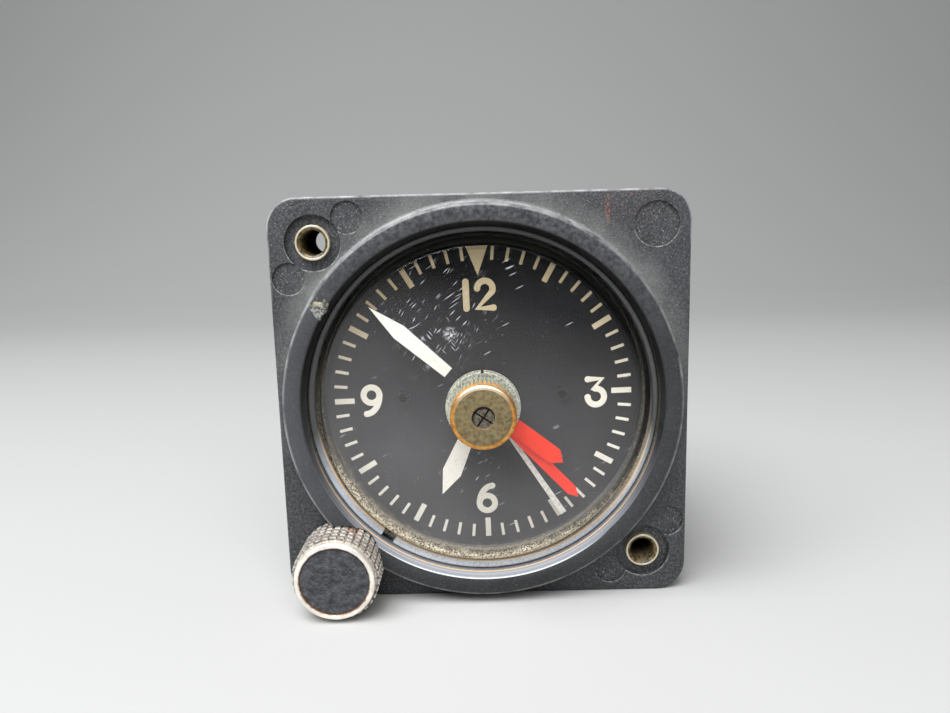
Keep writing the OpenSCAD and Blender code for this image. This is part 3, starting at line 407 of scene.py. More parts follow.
# %% Knurled knob: pale metal tops, grey dirt between them, a polished rim and a copper seam
def knurl_finish():
    material, tree, shader, place = finish("nickel-plated brass, knurled, worn", "b9b6b0", 0.35, 1.0)
    axis, depth = far_from(tree, place, *STEM), measured(tree, place)[2]
    top = mask(tree, (axis, GRIP_R - 0.23, GRIP_R - 0.04))
    rim = mask(tree, (depth, KNOB_FRONT - 1.15, KNOB_FRONT - 1.05))
    plated = layered(tree, "a8a199", ("e2ddd5", grains(tree, place, 0.9, 4)))
    polished = layered(tree, "e9e4da", ("fffaf0", grains(tree, place, 2, 3)))
    seam = summed(tree, axis, (grains(tree, place, 0.7, 3), 0.12))
    # the set screw sits deep in the knurl, so what shows of it is a spot painted dark as the shade of its
    # hole, with a rusty edge
    screw = far_from(tree, place, STEM[0] + 2.4, STEM[1] + 5.5, 3.4)
    spot = mask(tree, (screw, 1.15, 0.6), grains(tree, place, 0.4, 3, 0.35, 0.5))
    rust = layered(tree, "b97a4a", ("3a2c20", (screw, 0.75, 0.5)))
    color = layered(tree, "4f483f", ("968c80", grains(tree, place, 0.4, 3)), (plated, top), (polished, rim),
                    ("a5662f", (seam, 5.24, 5.1), (depth, 8.1, 8.3), 0.85), (rust, spot, 0.9))
    shiny = mask(tree, largest(tree, top, rim), (spot, 1, 0))
    coat(tree, shader, color, grains(tree, place, 0.2, 3), 0.02, 0.4,
         Roughness=add(tree, "MapRange", {0: shiny, 3: 0.8, 4: 0.36}).outputs[0],
         Metallic=add(tree, "MapRange", {0: shiny, 3: 0.2, 4: 0.75}).outputs[0])
    return material


knurled = knurl_finish()
rusty = finish("steel, rusted", "7a4526", 0.8, 0.2)[0]       # brown and dull, with little metal left


# %% Screw in the centre knob: browned steel with a soft highlight, its slots painted near black as shade, and a painted shadow at its top edge
def browned_screw():
    material, tree, shader, place = finish("steel, browned, painted shade in slots", "5a5048", 0.5, 0.5)
    depth, middle = measured(tree, place)[2:]
    # near black in the slots as painted shade, and a painted shadow of the bore along the top edge
    color = layered(tree, "403b34", ("6a6355", grains(tree, place, 0.35, 3, 0.4, 0.6)),
                    ("0c0a08", (depth, 9.47, 9.4)), ("9a7a68", (middle, 1.36, 1.46), 0.7),
                    ("100c0a", (far_from(tree, place, 0.05, -0.2), 1.36, 1.42)))
    coat(tree, shader, color, grains(tree, place, 0.2, 3))
    return material


dark_screw = browned_screw()

# %% [markdown]
# ## Scratches
# Short strokes in one direction are a Voronoi pattern stretched along the stroke: each cell has a
# mark in its middle, and a random share of the cells is kept. The pattern is flat, because in three
# dimensions most of the stretched cells would miss the surface.

# %% Strokes
def strokes(tree, place, angle, length_mm, width_mm, keep, seed):
    """Short scratches along angle, seen from the front. keep is the share of cells that has one."""
    aligned = add(tree, "Mapping", {0: place, 1: (seed * 0.013, seed * 0.007, 0),
                                    2: (math.pi / 2, 0, math.radians(angle))}).outputs[0]
    reach = 0.2                          # half a stroke, as a share of a cell
    cell = (2 * reach / (length_mm * MM), 2 * reach / (width_mm * MM), 0)
    scaled = add(tree, "VectorMath", {0: aligned, 1: cell}, operation="MULTIPLY").outputs[0]
    cells = add(tree, "TexVoronoi", {"Vector": scaled, "Scale": 1.0, "Randomness": 1.0},
                voronoi_dimensions="2D")
    chance = add(tree, "SeparateXYZ", {0: cells.outputs["Color"]}).outputs
    kept = add(tree, "Math", {0: chance[0], 1: keep}, operation="LESS_THAN").outputs[0]
    return mask(tree, (cells.outputs["Distance"], reach, reach * 0.35), kept, (chance[1], -0.5, 1.0))


# %% [markdown]
# ## Paints, disc and rubber
# The dial is sprayed matt black, painted lighter towards the bottom as painted light. Hands and
# scale carry luminous paint, aged to cream; the scale is browner towards the top, partly from age
# and partly as painted shade of the bezel. The two elapsed-time pointers are a flat red-orange, and
# the winding knob is closed by a black plastic disc.

# %% Dial black
def dial_finish():
    """Matt black paint on a metal dial, with fine dust under the crystal. It is painted lighter
    towards the bottom and darker at the top, as painted light and shade.
    """
    material, tree, shader, place = finish("paint, matt black, sprayed", "1b1b1d", 0.85,
                                           Specular_IOR_Level=0.1)
    across, height = measured(tree, place)[:2]
    # lighter towards the bottom, darker at the top: painted light and shade
    color = layered(tree, "101011", ("4a484a", (summed(tree, height, (across, 0.35)), 17, -13)),
                    ("1c1b1d", grains(tree, place, 14, 3, 0.35, 0.65), 0.35),
                    ("8a887c", grains(tree, place, 0.3, 2, 0.7, 0.74), 0.6))
    coat(tree, shader, color, grains(tree, place, 1.5, 2), 0.01, 0.2)
    return material


# %% Luminous paint
def lume_finish(name, top, bottom, speck="8f7d5c", share=0.25):
    """Luminous paint, browner towards the top of the dial: partly age, partly painted shade of the bezel."""
    material, tree, shader, place = finish(name, top, 0.75)
    color = layered(tree, bottom, (top, (measured(tree, place)[1], -2, 14)),
                    (speck, grains(tree, place, 0.5, 3, 0.55, 0.75), share),
                    ("5c4440", grains(tree, place, 0.22, 2, 0.69, 0.73), share * 2))
    coat(tree, shader, color, grains(tree, place, 0.2, 3))
    return material


dial_black = dial_finish()
dial_print = lume_finish("print, luminous cream, aged, painted shade at the top", "c9b78f", "f3eee0", "9c8a66", 0.2)
hand_lume = lume_finish("luminous paint, cream white", "f6f3ea", "f4efe2")
hand_black = finish("paint, matt black, on hands", "19191b", 0.6)[0]       # black with a dull sheen


# %% Sweep hand, dial screws and red pointers
def sweep_finish():
    """White paint from the hub outwards, with the tail behind the hub left black."""
    material, tree, shader, place = finish("paint, white, on a black sweep hand", "e6e3da", 0.55)
    heading = math.radians(149)
    along = add(tree, "VectorMath", {0: place, 1: (math.sin(heading), 0, math.cos(heading))},
                operation="DOT_PRODUCT").outputs["Value"]
    coat(tree, shader, layered(tree, "e6e3da", ("bdb9ac", grains(tree, place, 0.4, 3, 0.45, 0.7)),
                               ("131314", (along, 0.2 * MM, -0.2 * MM))))
    return material


def dial_screw_finish():
    """Blackened steel, its middle painted near black as the shade of a recess."""
    material, tree, shader, place = finish("steel, blackened", "0c0c0d", 0.45, 0.3)
    radius = nearest(tree, place, (12.05, 0), (-12.05, 0))
    coat(tree, shader, layered(tree, "010101", ("2c2c2e", (radius, 0.62, 0.72))))
    return material


def red_paint():
    """Flat pigment that stays bright in the shade, so it has almost no highlight."""
    material, tree, shader, place = finish("paint, red-orange", "ff3a14", 0.55, Specular_IOR_Level=0.1)
    color = layered(tree, "ff3a14", ("f5300c", grains(tree, place, 2.5, 3, 0.3, 0.7)))
    coat(tree, shader, color, grains(tree, place, 0.5, 2), 0.01, 0.3)
    return material


white_sweep, black_screw, red = sweep_finish(), dial_screw_finish(), red_paint()


# %% Cap disc and rubber
def cap_finish():
    """Black disc with a dull bloom, dust specks and a few scuffs near its middle, and a painted
    shadow along its top edge under the rim.
    """
    material, tree, shader, place = finish("plastic disc, black, scuffed", "292a2d", 0.55)
    near = (far_from(tree, place, STEM[0], STEM[1] - 0.5), 3.4, 1.2)
    # a painted shadow along the disc's top edge, under the rim
    shade = mask(tree, (far_from(tree, place, *STEM), 4.6, 4.95),
                 (measured(tree, place)[1], STEM[1] + 1, STEM[1] + 4))
    color = layered(tree, "1b1c1f", ("45464b", grains(tree, place, 1.2, 5, 0.35, 0.66)),
                    ("8d8c84", grains(tree, place, 0.22, 2, 0.69, 0.74), 0.5),
                    ("060606", strokes(tree, place, 28, 2.0, 0.4, 0.6, 6), near),
                    ("77777a", strokes(tree, place, -50, 1.2, 0.16, 0.3, 8), 0.5),
                    ("0a0908", shade, 0.85))
    coat(tree, shader, color, grains(tree, place, 0.6, 5), 0.12, 0.8)
    return material


cap_black = cap_finish()
rubber = finish("rubber, black", "141414", 0.85)[0]       # a gasket's black, without shine


# %% Snap ring: grey spring wire, streaked along its turn, with painted light at the bottom and painted shade at the top
def ring_finish():
    material, tree, shader, place = finish("spring steel, grey, edges rubbed", "4a4d52", 0.42, 0.2)
    across, height, depth, middle = measured(tree, place)
    track = add(tree, "CombineXYZ", {0: middle}).outputs[0]
    streak = add(tree, "TexNoise", {"Vector": track, "Scale": 7000.0, "Detail": 3.0}).outputs["Fac"]
    # near its gap the ring stands up to half a millimetre further in
    gapward = summed(tree, mask(tree, across, math.cos(RING_GAP)), (height, math.sin(RING_GAP)))
    radius = summed(tree, middle, ((gapward, 0, 25), 0.5))
    buried = layered(tree, "6f644e", ("efe4ca", grains(tree, place, 0.3, 4, 0.38, 0.6)))
    color = layered(tree, "a4aab2", ("cdd3db", (streak, 0.35, 0.65)),
                    # pale at the bottom: painted light; near black from the sides up: painted shade of the
                    # bezel
                    ("eef2f6", (height, -19, -24), 0.8), ("121211", (height, -13, -4), 0.9),
                    ("6a6453", grains(tree, place, 0.25, 4, 0.5, 0.62), 0.3),
                    ("f0cfa4", (radius, 24.88, 24.82), (depth, 0.4, 0.55), (height, -3, -10), 0.9),
                    (buried, (radius, 24.72, 24.67), (depth, 0.5, 0.2), (height, 2, -12)))
    coat(tree, shader, color)
    return material


ring_black = ring_finish()

# %% [markdown]
# ## The crystal
# It is clear acrylic, so the dial has to show through it and lamps have to reach the dial. A thin
# window is mixed from a Transparent shader and a glossy one, by the share that Fresnel reflects.
# Over that lies a thin diffuse film: fine haze that grows downwards, partly painted light,
# bluish-white scratches, and the tan dust that has settled on the steep side and on the ledge under
# the ring. Above, the steep side is near black, partly dust and partly painted shade.

# %% Scratches on the crystal
def scratches(tree, place, middle):
    """Fields of scratches: upper left, round the minute hand's root, beside the 6, and a few more."""
    inner = mask(tree, (middle, 22.4, 21.6))
    three_ways = largest(tree, strokes(tree, place, 34, 2.4, 0.1, 0.14, 1),
                         strokes(tree, place, 44, 1.3, 0.09, 0.13, 5),
                         strokes(tree, place, 62, 1.1, 0.09, 0.1, 9))
    upper = mask(tree, (far_from(tree, place, -5.8, 14.0), 9, 4), inner, three_ways)
    spray = mask(tree, (far_from(tree, place, -6.6, 9.0), 6.5, 2.0),
                 largest(tree, strokes(tree, place, 58, 1.2, 0.1, 0.22, 2),
                         strokes(tree, place, -50, 1.3, 0.08, 0.2, 7)))
    lower = mask(tree, (far_from(tree, place, -1.8, -10.8), 6, 3),
                 strokes(tree, place, 50, 1.2, 0.12, 0.2, 3))
    few = mask(tree, strokes(tree, place, 25, 1.6, 0.09, 0.02, 4), inner)
    scuff = mask(tree, (far_from(tree, place, -4.4, 10.6), 1.2, 0.3),
                 grains(tree, place, 0.4, 4, 0.42, 0.58), 0.6)
    return largest(tree, upper, spray, lower, few, scuff)


# %% Dust on the steep side and the ledge
def side_dust_and_shade(tree, place):
    """Thick and tan at the bottom, olive-dark at the sides and above, partly dust and partly painted
    shade of the bezel. Gives its cover and its shader.
    """
    across, height, depth, middle = measured(tree, place)
    side = mask(tree, (middle, 23.05, 23.25))
    grain = grains(tree, place, 0.25, 5, 0.4, 0.6, 0.7)
    ledge = mask(tree, (depth, 2.5, 0.9))
    settled = mask(tree, (summed(tree, height, (across, 0.25)), 6, -19))
    reach = summed(tree, middle, (settled, 1.5), grains(tree, place, 0.9, 4, 0.2, 0.8))
    drift = mask(tree, (reach, 22.9, 24.5), settled, (height, -2, -9))
    cover = largest(tree, drift, mask(tree, side, 0.2), mask(tree, side, ledge, settled))
    cover = mask(tree, cover, (grain, -0.7, 0.5), (depth, -1.0, -0.88))
    steep_dust = layered(tree, "211e17", ("6b6350", grain))
    ledge_dust = layered(tree, "6b614c", ("ddd2bd", grain))
    tan = layered(tree, steep_dust, (ledge_dust, largest(tree, ledge, drift)))
    # olive near black above: dust and painted shade; tan where the dust has settled low
    color = layered(tree, "0d0d0a", ("35342a", grain), (tan, (settled, 0, 0.6)))
    return cover, add(tree, "BsdfDiffuse", {0: color}).outputs[0]


# %% Acrylic with scratches and dust
def acrylic():
    material, tree, shader, place = finish("acrylic, clear, scratched, dusty rim", "dfe6e8", 0.06)
    tree.nodes.remove(shader)
    across, height, depth, middle = measured(tree, place)
    clear = add(tree, "BsdfTransparent", {0: (0.985, 0.985, 0.985, 1)})
    gloss = add(tree, "BsdfGlossy", {0: (0.95, 0.97, 1.0, 1), 1: 0.1})
    facing = add(tree, "Fresnel", {0: 1.49}).outputs[0]
    pane = add(tree, "MixShader", {0: mask(tree, facing, (middle, 22.9, 22.5), 0.25), 1: clear.outputs[0],
                                   2: gloss.outputs[0]})
    marks = scratches(tree, place, middle)
    # haze that grows downwards: partly dust and partly painted light
    veil = mask(tree, (summed(tree, height, (across, 0.35)), 17, -13),
                (grains(tree, place, 12, 4, 0.25, 0.75), -1.2, 1.0), 0.075)
    specks = grains(tree, place, 0.25, 2, 0.73, 0.76)
    film = largest(tree, mask(tree, marks, 0.85), summed(tree, veil, (specks, 0.4)))
    haze = add(tree, "BsdfDiffuse", {0: layered(tree, "f0eeee", ("e8eefa", marks))})
    face = add(tree, "MixShader", {0: mask(tree, film, (depth, 2.6, 3.0), (middle, 23.3, 22.9)),
                                   1: pane.outputs[0], 2: haze.outputs[0]})
    cover, dust = side_dust_and_shade(tree, place)
    out = add(tree, "MixShader", {0: cover, 1: face.outputs[0], 2: dust})
    tree.links.new(out.outputs[0], tree.nodes["Material Output"].inputs[0])
    return material


crystal_clear = acrylic()

# %% Materials of the CAD nodes
slot_finish = {
    "phenolic": can_phenolic, "dial_black": dial_black, "brass": brass, "tarnished_brass": patina,
    "bushing_metal": bushing, "steel": steel, "blued_steel": blued_steel, "ring_black": ring_black,
    "knob_metal": knurled, "cap_black": cap_black, "rusty_steel": rusty, "hand_white": hand_black,
    "pointer_red": red, "seal_rubber": rubber, "crystal_glass": crystal_clear,
}
node_slot = {s["node"]: s["material_slot"] for s in frame["record"]["subparts"]}


def dress(node, material):
    """Give every material slot of a CAD node this material."""
    for place in nodes[node].material_slots:
        place.material = material


for name in nodes:
    dress(name, slot_finish[node_slot[name]])
print(len(slot_finish), "finishes on", len(nodes), "CAD nodes")
dress("second_hand", white_sweep)
dress("dial_screws", black_screw)
dress("pointer_knob_screw", dark_screw)

# %% [markdown]
# ## Helpers for modelling
# Shapes are made as by hand: a primitive or a drawn outline, worked on in edit mode, and finished
# with modifiers that are applied. The profile of a turned piece is drawn point by point and spun.

# %% Picking and settling
def pick_nothing():
    if bpy.context.object and bpy.context.object.mode != "OBJECT":
        bpy.ops.object.mode_set(mode="OBJECT")
    bpy.ops.object.select_all(action="DESELECT")


def pick(piece):
    pick_nothing()
    piece.select_set(True)
    bpy.context.view_layer.objects.active = piece


def settle(piece):
    """Put the object's place, turn and size into its mesh."""
    pick(piece)
    bpy.ops.object.transform_apply(location=True, rotation=True, scale=True)


# %% Outlines, slabs and turned shapes
def drawn(points, closed=True):
    """A chain of vertices through points, left in edit mode with all of it selected."""
    pick_nothing()
    bpy.ops.mesh.primitive_plane_add(size=0.001, location=(0, 0, 0))
    piece = bpy.context.object
    bpy.ops.object.mode_set(mode="EDIT")
    bpy.ops.mesh.select_all(action="SELECT")
    bpy.ops.mesh.merge(type="CENTER")
    bpy.ops.transform.translate(value=points[0])
    for before, after in zip(points, points[1:]):
        bpy.ops.mesh.extrude_vertices_move(TRANSFORM_OT_translate={"value": Vector(after) - Vector(before)})
    bpy.ops.mesh.select_all(action="SELECT")
    if closed:
        bpy.ops.mesh.edge_face_add()
    return piece


def slab(points, thick_mm):
    """A flat piece with this outline, thickened towards the viewer."""
    piece = drawn(points)
    bpy.ops.mesh.extrude_region_move(TRANSFORM_OT_translate={"value": (0, -thick_mm * MM, 0)})
    bpy.ops.mesh.select_all(action="SELECT")
    bpy.ops.mesh.normals_make_consistent(inside=False)
    bpy.ops.object.mode_set(mode="OBJECT")
    return piece


def turned(profile, steps=144, angle=360.0, start=0.0):
    """Spin a closed profile of (radius, level) in mm round the dial's axis."""
    piece = drawn([at(r, 0, level) for r, level in profile])
    if angle == 360.0:            # a whole turn needs the outline alone, or a wall stays inside
        bpy.ops.mesh.delete(type="ONLY_FACE")
        bpy.ops.mesh.select_all(action="SELECT")
    if start:
        bpy.ops.transform.rotate(value=math.radians(start), orient_axis="Y", center_override=(0, 0, 0))
    bpy.ops.mesh.spin(steps=steps, angle=math.radians(angle), center=(0, 0, 0), axis=(0, 1, 0))
    bpy.ops.mesh.select_all(action="SELECT")
    bpy.ops.mesh.remove_doubles(threshold=1e-6)
    bpy.ops.mesh.normals_make_consistent(inside=False)
    bpy.ops.object.mode_set(mode="OBJECT")
    return piece


# %% Selecting, modifiers and copies
def choose(piece, part, test):
    """In edit mode, select the edges or faces of piece that pass a test."""
    mesh = bmesh.from_edit_mesh(piece.data)
    for item in getattr(mesh, part):
        item.select_set(test(item))
    bmesh.update_edit_mesh(piece.data)


def change(piece, kind, **settings):
    """Add a modifier and apply it."""
    pick(piece)
    bpy.ops.object.modifier_add(type=kind)
    modifier = piece.modifiers[-1]
    for key, value in settings.items():
        setattr(modifier, key, value)
    bpy.ops.object.modifier_apply(modifier=modifier.name)


def combine(piece, tool, operation="DIFFERENCE"):
    """Cut or join tool into piece, then throw tool away."""
    change(piece, "BOOLEAN", object=tool, operation=operation, solver="MANIFOLD")
    bpy.data.objects.remove(tool)


def ringed(piece, count):
    """Repeat piece round the dial's axis."""
    pick_nothing()
    bpy.ops.object.empty_add(location=(0, 0, 0), rotation=(0, math.tau / count, 0))
    turn = bpy.context.object
    change(piece, "ARRAY", count=count, use_relative_offset=False, use_object_offset=True, offset_object=turn)
    bpy.data.objects.remove(turn)


def joined(*pieces):
    """Make one object of several."""
    pick(pieces[0])
    for piece in pieces[1:]:
        piece.select_set(True)
    bpy.ops.object.join()
    return pieces[0]


# %% Boxes, round bars and finished pieces
def boxed(size, x, z, level):
    """A box of size (across, deep, high) in mm, with its middle at this place."""
    pick_nothing()
    bpy.ops.mesh.primitive_cube_add(size=1, location=at(x, z, level))
    piece = bpy.context.object
    piece.scale = [side * MM for side in size]
    settle(piece)
    return piece


def rod(x, z, back, front, radius, steps=64):
    """A round bar towards the viewer, for cutting holes."""
    pick_nothing()
    bpy.ops.mesh.primitive_cylinder_add(vertices=steps, radius=radius * MM, depth=(front - back) * MM,
                                        location=at(x, z, (front + back) / 2), rotation=(math.pi / 2, 0, 0))
    piece = bpy.context.object
    settle(piece)
    return piece


def placed(piece, name, body, slot, material, *stands_for, smooth=30):
    """Name a finished piece, smooth it, give it its finish and let it ride on its body."""
    settle(piece)
    piece.name = piece.data.name = name
    bpy.ops.object.shade_smooth_by_angle(angle=math.radians(smooth))
    piece.data.materials.clear()
    piece.data.materials.append(material)
    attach(piece, body)
    if stands_for:
        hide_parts(*stands_for)
    print(name, len(piece.data.polygons), "faces")
    return piece


# %% [markdown]
# ## The case
# The real case is one moulding: a square flange with a round bezel that grows out of it in a soft
# curve, and a round housing behind. The flange is a cube with bevelled corners, the bezel a spun
# profile, and the two are joined and then cut for screws, knob and crystal.

# %% Flange, its four corners rounded first, then both of its outlines
housing = boxed((FLANGE_W, FLANGE_T, FLANGE_W), 0, 0, -FLANGE_T / 2)
bpy.ops.object.mode_set(mode="EDIT")
choose(housing, "edges", lambda edge: abs((edge.verts[0].co - edge.verts[1].co).y) > 1 * MM)
bpy.ops.mesh.bevel(offset=CORNER_R * MM, segments=12, affect="EDGES")
choose(housing, "edges", lambda edge: abs((edge.verts[0].co - edge.verts[1].co).y) < 0.001 * MM)
bpy.ops.mesh.bevel(offset=0.4 * MM, segments=4, affect="EDGES")
bpy.ops.object.mode_set(mode="OBJECT")

# %% Bezel, spun with its fillet, rounded edge and chamfer
foot_r, rim_r, inside_r, buried = 0.8, 0.55, 20.5, -4.9
quarter = [math.radians(a) for a in range(0, 91, 18)]
fillet = [(BEZEL_R + foot_r - foot_r * math.sin(t), foot_r - foot_r * math.cos(t) - 0.02) for t in quarter]
edge_round = [(BEZEL_R - rim_r + rim_r * math.cos(t), BEZEL_H - rim_r + rim_r * math.sin(t)) for t in quarter]
bezel = turned([(inside_r, buried), (BEZEL_R + foot_r, buried), *fillet, *edge_round,
                (FACE_R + 0.2, BEZEL_H - 0.42), (FACE_R, BEZEL_H - 0.55), (VIEW_R + 0.05, LIP_H + 0.06),
                (VIEW_R, LIP_H), (VIEW_R, -1.5), (inside_r, -1.5)])
combine(housing, rod(0, 0, -5.5, 0.5, 22.5, 144))
combine(housing, bezel, "UNION")
print("bezel joined", len(housing.data.polygons))

# %% Housing behind the flange: a round barrel, swollen round the winding wheels, and screw bosses
sunk = -4.8                          # each boss starts a little inside the flange
barrel = rod(0, 0, HOUSING_BACK, sunk, 28.4, 144)
combine(barrel, rod(*WINDING_WHEEL, HOUSING_BACK, sunk, 10.7), "UNION")
combine(barrel, rod(*STEM, HOUSING_BACK, sunk, 5.3), "UNION")
for turn in [math.radians(angle) for angle in (45, 160, 290)]:
    combine(barrel, rod(28.6 * math.cos(turn), 28.6 * math.sin(turn), HOUSING_BACK, sunk, 2.4, 32), "UNION")
for x, z in INSERTS:
    combine(barrel, rod(x, z, HOUSING_BACK, sunk, 5.5), "UNION")
combine(housing, barrel, "UNION")

# %% Bores: the ring's groove, the crystal's seat, the dial's opening, and the room for the movement
for back, front, radius, steps in (
        (RING_BACK - 0.05, RING_FRONT + 0.05, GROOVE_R, 144), (-2.8, RING_BACK, 25.5, 144),
        (-4.5, -2.5, 24, 144), (-7, -4.2, 20.5, 96), (-12, -6.5, 25.6, 144)):
    combine(housing, rod(0, 0, back, front, radius, steps))

# %% The knob's pocket, the wheels' pockets, blank, screw recesses, insert holes and pin marks
cuts = [rod(*STEM, 0.45, 4.5, GRIP_R + 0.1, 64), rod(*STEM, -12, 1, 2.2, 48),
        rod(*WINDING_WHEEL, -12, -5, 9.2, 64), rod(*STEM, -12, -5, 3.8, 48),
        rod(*BLANK, -MARK_DEPTH, 1, BLANK_R)]
for x, z in INSERTS:
    cuts += [rod(x, z, -13, 1, INSERT_R), rod(x, z, -0.9, 1, RECESS_R)]
cuts += [rod(x, z, -MARK_DEPTH, 1, PIN_R, 48) for x, z in PINS]
for cutter in cuts:
    combine(housing, cutter)
placed(housing, "case_moulding", "case_body", "phenolic", phenolic, "case", smooth=28)

# %% [markdown]
# ## Threaded inserts
# Each is a brass tube with a coarse panel thread inside. A thread is a ramp, but seen from the
# front it reads as stacked ridges, so the bore's profile is a zigzag, spun round the screw's axis.

# %% Brass inserts with ridged bores
PITCH = 0.79                         # of a 6-32 thread
zigzag = []
for k in range(14):
    zigzag += [(1.76, -11.3 + PITCH * k), (2.06, -11.3 + PITCH * (k + 0.5))]
insert = turned([(INSERT_R, HOUSING_BACK), (1.9, HOUSING_BACK), *zigzag, (1.85, -0.25), (2.25, 0), (2.42, 0),
                 (INSERT_R, -0.08)], 48)
second = insert.copy()
second.data = insert.data.copy()
bpy.context.collection.objects.link(second)
for piece, spot in zip((insert, second), INSERTS):
    piece.location = at(*spot)
    settle(piece)
placed(joined(insert, second), "insert_pair", "case_body", "brass", grimy_shaded_brass, "threaded_inserts",
       smooth=20)

# %% [markdown]
# ## Print on the dial
# The scale is luminous paint, thick enough to stand above the black. Each mark is a thin bar,
# modelled once and copied round. Numerals are drawn with a round pen: a path with a round section
# is pressed almost flat, which leaves the domed stroke and round ends of the real figures.

# %% Minute and five-minute marks
PRINT_T = 0.03                       # thickness of the printed bars
marks = []


def bar(angle, inner, outer, width):
    """A bar of paint from inner to outer radius, at a clock angle in degrees."""
    piece = boxed((width, PRINT_T, outer - inner), 0, (outer + inner) / 2, DIAL_LEVEL + PRINT_T / 2)
    piece.rotation_euler = (0, math.radians(angle), 0)
    settle(piece)
    return piece


for minute in range(60):
    if minute % 5:
        marks.append(bar(minute * 6, 20.5, 22.5, 0.45))
    elif minute:
        marks.append(bar(minute * 6, 19.45, 22.45, 0.82))
marks.append(slab([at(x, z, DIAL_LEVEL) for x, z in ((-1.62, 22.5), (1.62, 22.5), (0, 18.2))], PRINT_T))
print(len(marks), "marks")


# %% Numerals
def pen(points, width=0.97, closed=False):
    """A domed stroke through points of (x, z) in mm, given a round end at both ends."""
    pick_nothing()
    bpy.ops.curve.primitive_bezier_curve_add(location=(0, 0, 0))
    piece = bpy.context.object
    curve = piece.data
    curve.splines.clear()
    line = curve.splines.new("POLY")
    line.points.add(len(points) - 1)
    for spot, (x, z) in zip(line.points, points):
        spot.co = (*at(x, z), 1)
    line.use_cyclic_u = closed
    curve.bevel_depth = width / 2 * MM
    curve.bevel_resolution = 3
    curve.use_fill_caps = not closed
    pick(piece)
    bpy.ops.object.convert(target="MESH")
    piece = bpy.context.object
    bpy.ops.object.mode_set(mode="EDIT")
    bpy.ops.mesh.select_all(action="SELECT")
    bpy.ops.mesh.remove_doubles(threshold=1e-6)
    bpy.ops.object.mode_set(mode="OBJECT")
    parts = [piece]
    for x, z in () if closed else (points[0], points[-1]):
        pick_nothing()
        bpy.ops.mesh.primitive_uv_sphere_add(segments=20, ring_count=10, radius=width / 2 * MM,
                                             location=at(x, z))
        parts.append(bpy.context.object)
    for part in parts:
        settle(part)
        part.scale = (1, 0.07, 1)
        settle(part)
        part.location = at(0, 0, DIAL_LEVEL)
        settle(part)
    return parts


def arc(x, z, radius, start, end, steps=24, flat=1.0):
    """Points on an arc, angles in degrees anticlockwise from 3 o'clock."""
    turns = [math.radians(start + (end - start) * k / steps) for k in range(steps + 1)]
    return [(x + radius * math.cos(t), z + radius * flat * math.sin(t)) for t in turns]


marks += pen([(-1.85, 17.3), (-1.85, 13.35)])
marks += pen(arc(0.97, 16.2, 1.15, 176, -28, 24) + [(-0.2, 13.32), (2.15, 13.32)])
marks += pen([(15.92, 1.85), (18.05, 1.85), (16.75, 0.4)] + arc(17.1, -0.86, 1.24, 97, -178, 28))
marks += pen(arc(0, -17.06, 1.2, 0, 360, 36), closed=True)
marks += pen(arc(0.95, -17.2, 2.15, 176, 92, 12, 1.36))
marks += pen(arc(-16.84, 0.8, 1.2, 0, 360, 36), closed=True)
marks += pen(arc(-17.79, 0.95, 2.15, -4, -88, 12, 1.42))
print_work = joined(*marks)
settle(print_work)
print_work.rotation_euler = (0, -PRINT_TURN, 0)
placed(print_work, "dial_print", "case_body", "dial_black", dial_print, smooth=40)


# %% [markdown]
# ## Paint on the hands
# Each white hand is a black plate filled with luminous paint from a square-cut root to the point.
# A pattern on the plate would show the colour, but real paint stands up and catches light at its
# edge, so each fill is a thin slab that is drawn from five points and rides on its hand.

# %% Luminous fill of the two white hands
def fill(name, body, angle, level, root, length, shoulder, shoulder_w, root_w):
    """Paint on a hand, at a clock angle in degrees. It is widest at its shoulder. Lengths are in mm."""
    outline = [(-root_w / 2, root), (-shoulder_w / 2, shoulder), (0, length), (shoulder_w / 2, shoulder),
               (root_w / 2, root)]
    piece = slab([at(x, z, level) for x, z in outline], 0.05)
    piece.rotation_euler = (0, math.radians(angle), 0)
    return placed(piece, name, body, "hand_white", hand_lume)


fill("minute_paint", "centre_arbor", angle=311.4, level=-0.5, root=6.6, length=21.55, shoulder=15.9,
     shoulder_w=2.32, root_w=1.7)
fill("hour_paint", "hour_pipe", angle=204, level=-1.2, root=6.6, length=15.8, shoulder=12.1,
     shoulder_w=2.9, root_w=2.25)

# %% Sweep hand, a bar that widens slightly and sits a little to one side
outline = ((-0.75, -6), (-0.62, 0), (-0.84, 20.9), (0.08, 20.9), (-0.08, 0), (0.25, -6))
sweep_hand = slab([at(x, z, -0.05) for x, z in outline], 0.2)
sweep_hand.rotation_euler = (0, math.radians(147), 0)
placed(sweep_hand, "sweep_hand", "second_arbor", "hand_white", white_sweep, "second_hand")

# %% [markdown]
# ## Snap ring
# A split ring of spring wire whose foot sits in a groove and whose inner part is rounded. A bent
# round wire would lack the foot, so its section is drawn and spun, and the spin stops short of a
# full turn for the gap.

# %% Retaining ring
gap_turn = math.degrees(2.2 / 25.4)
around = (160, 360 - gap_turn, math.degrees(RING_GAP) - 360 - gap_turn / 2)
ring = turned([(24.65, RING_BACK), (26.2, RING_BACK), (26.2, RING_FRONT), (25.47, RING_FRONT), (25.46, 0.55),
               (25.42, 0.76), (25.32, 0.87), (25.2, 0.9), (24.9, 0.85), (24.74, 0.74), (24.66, 0.5)], *around)
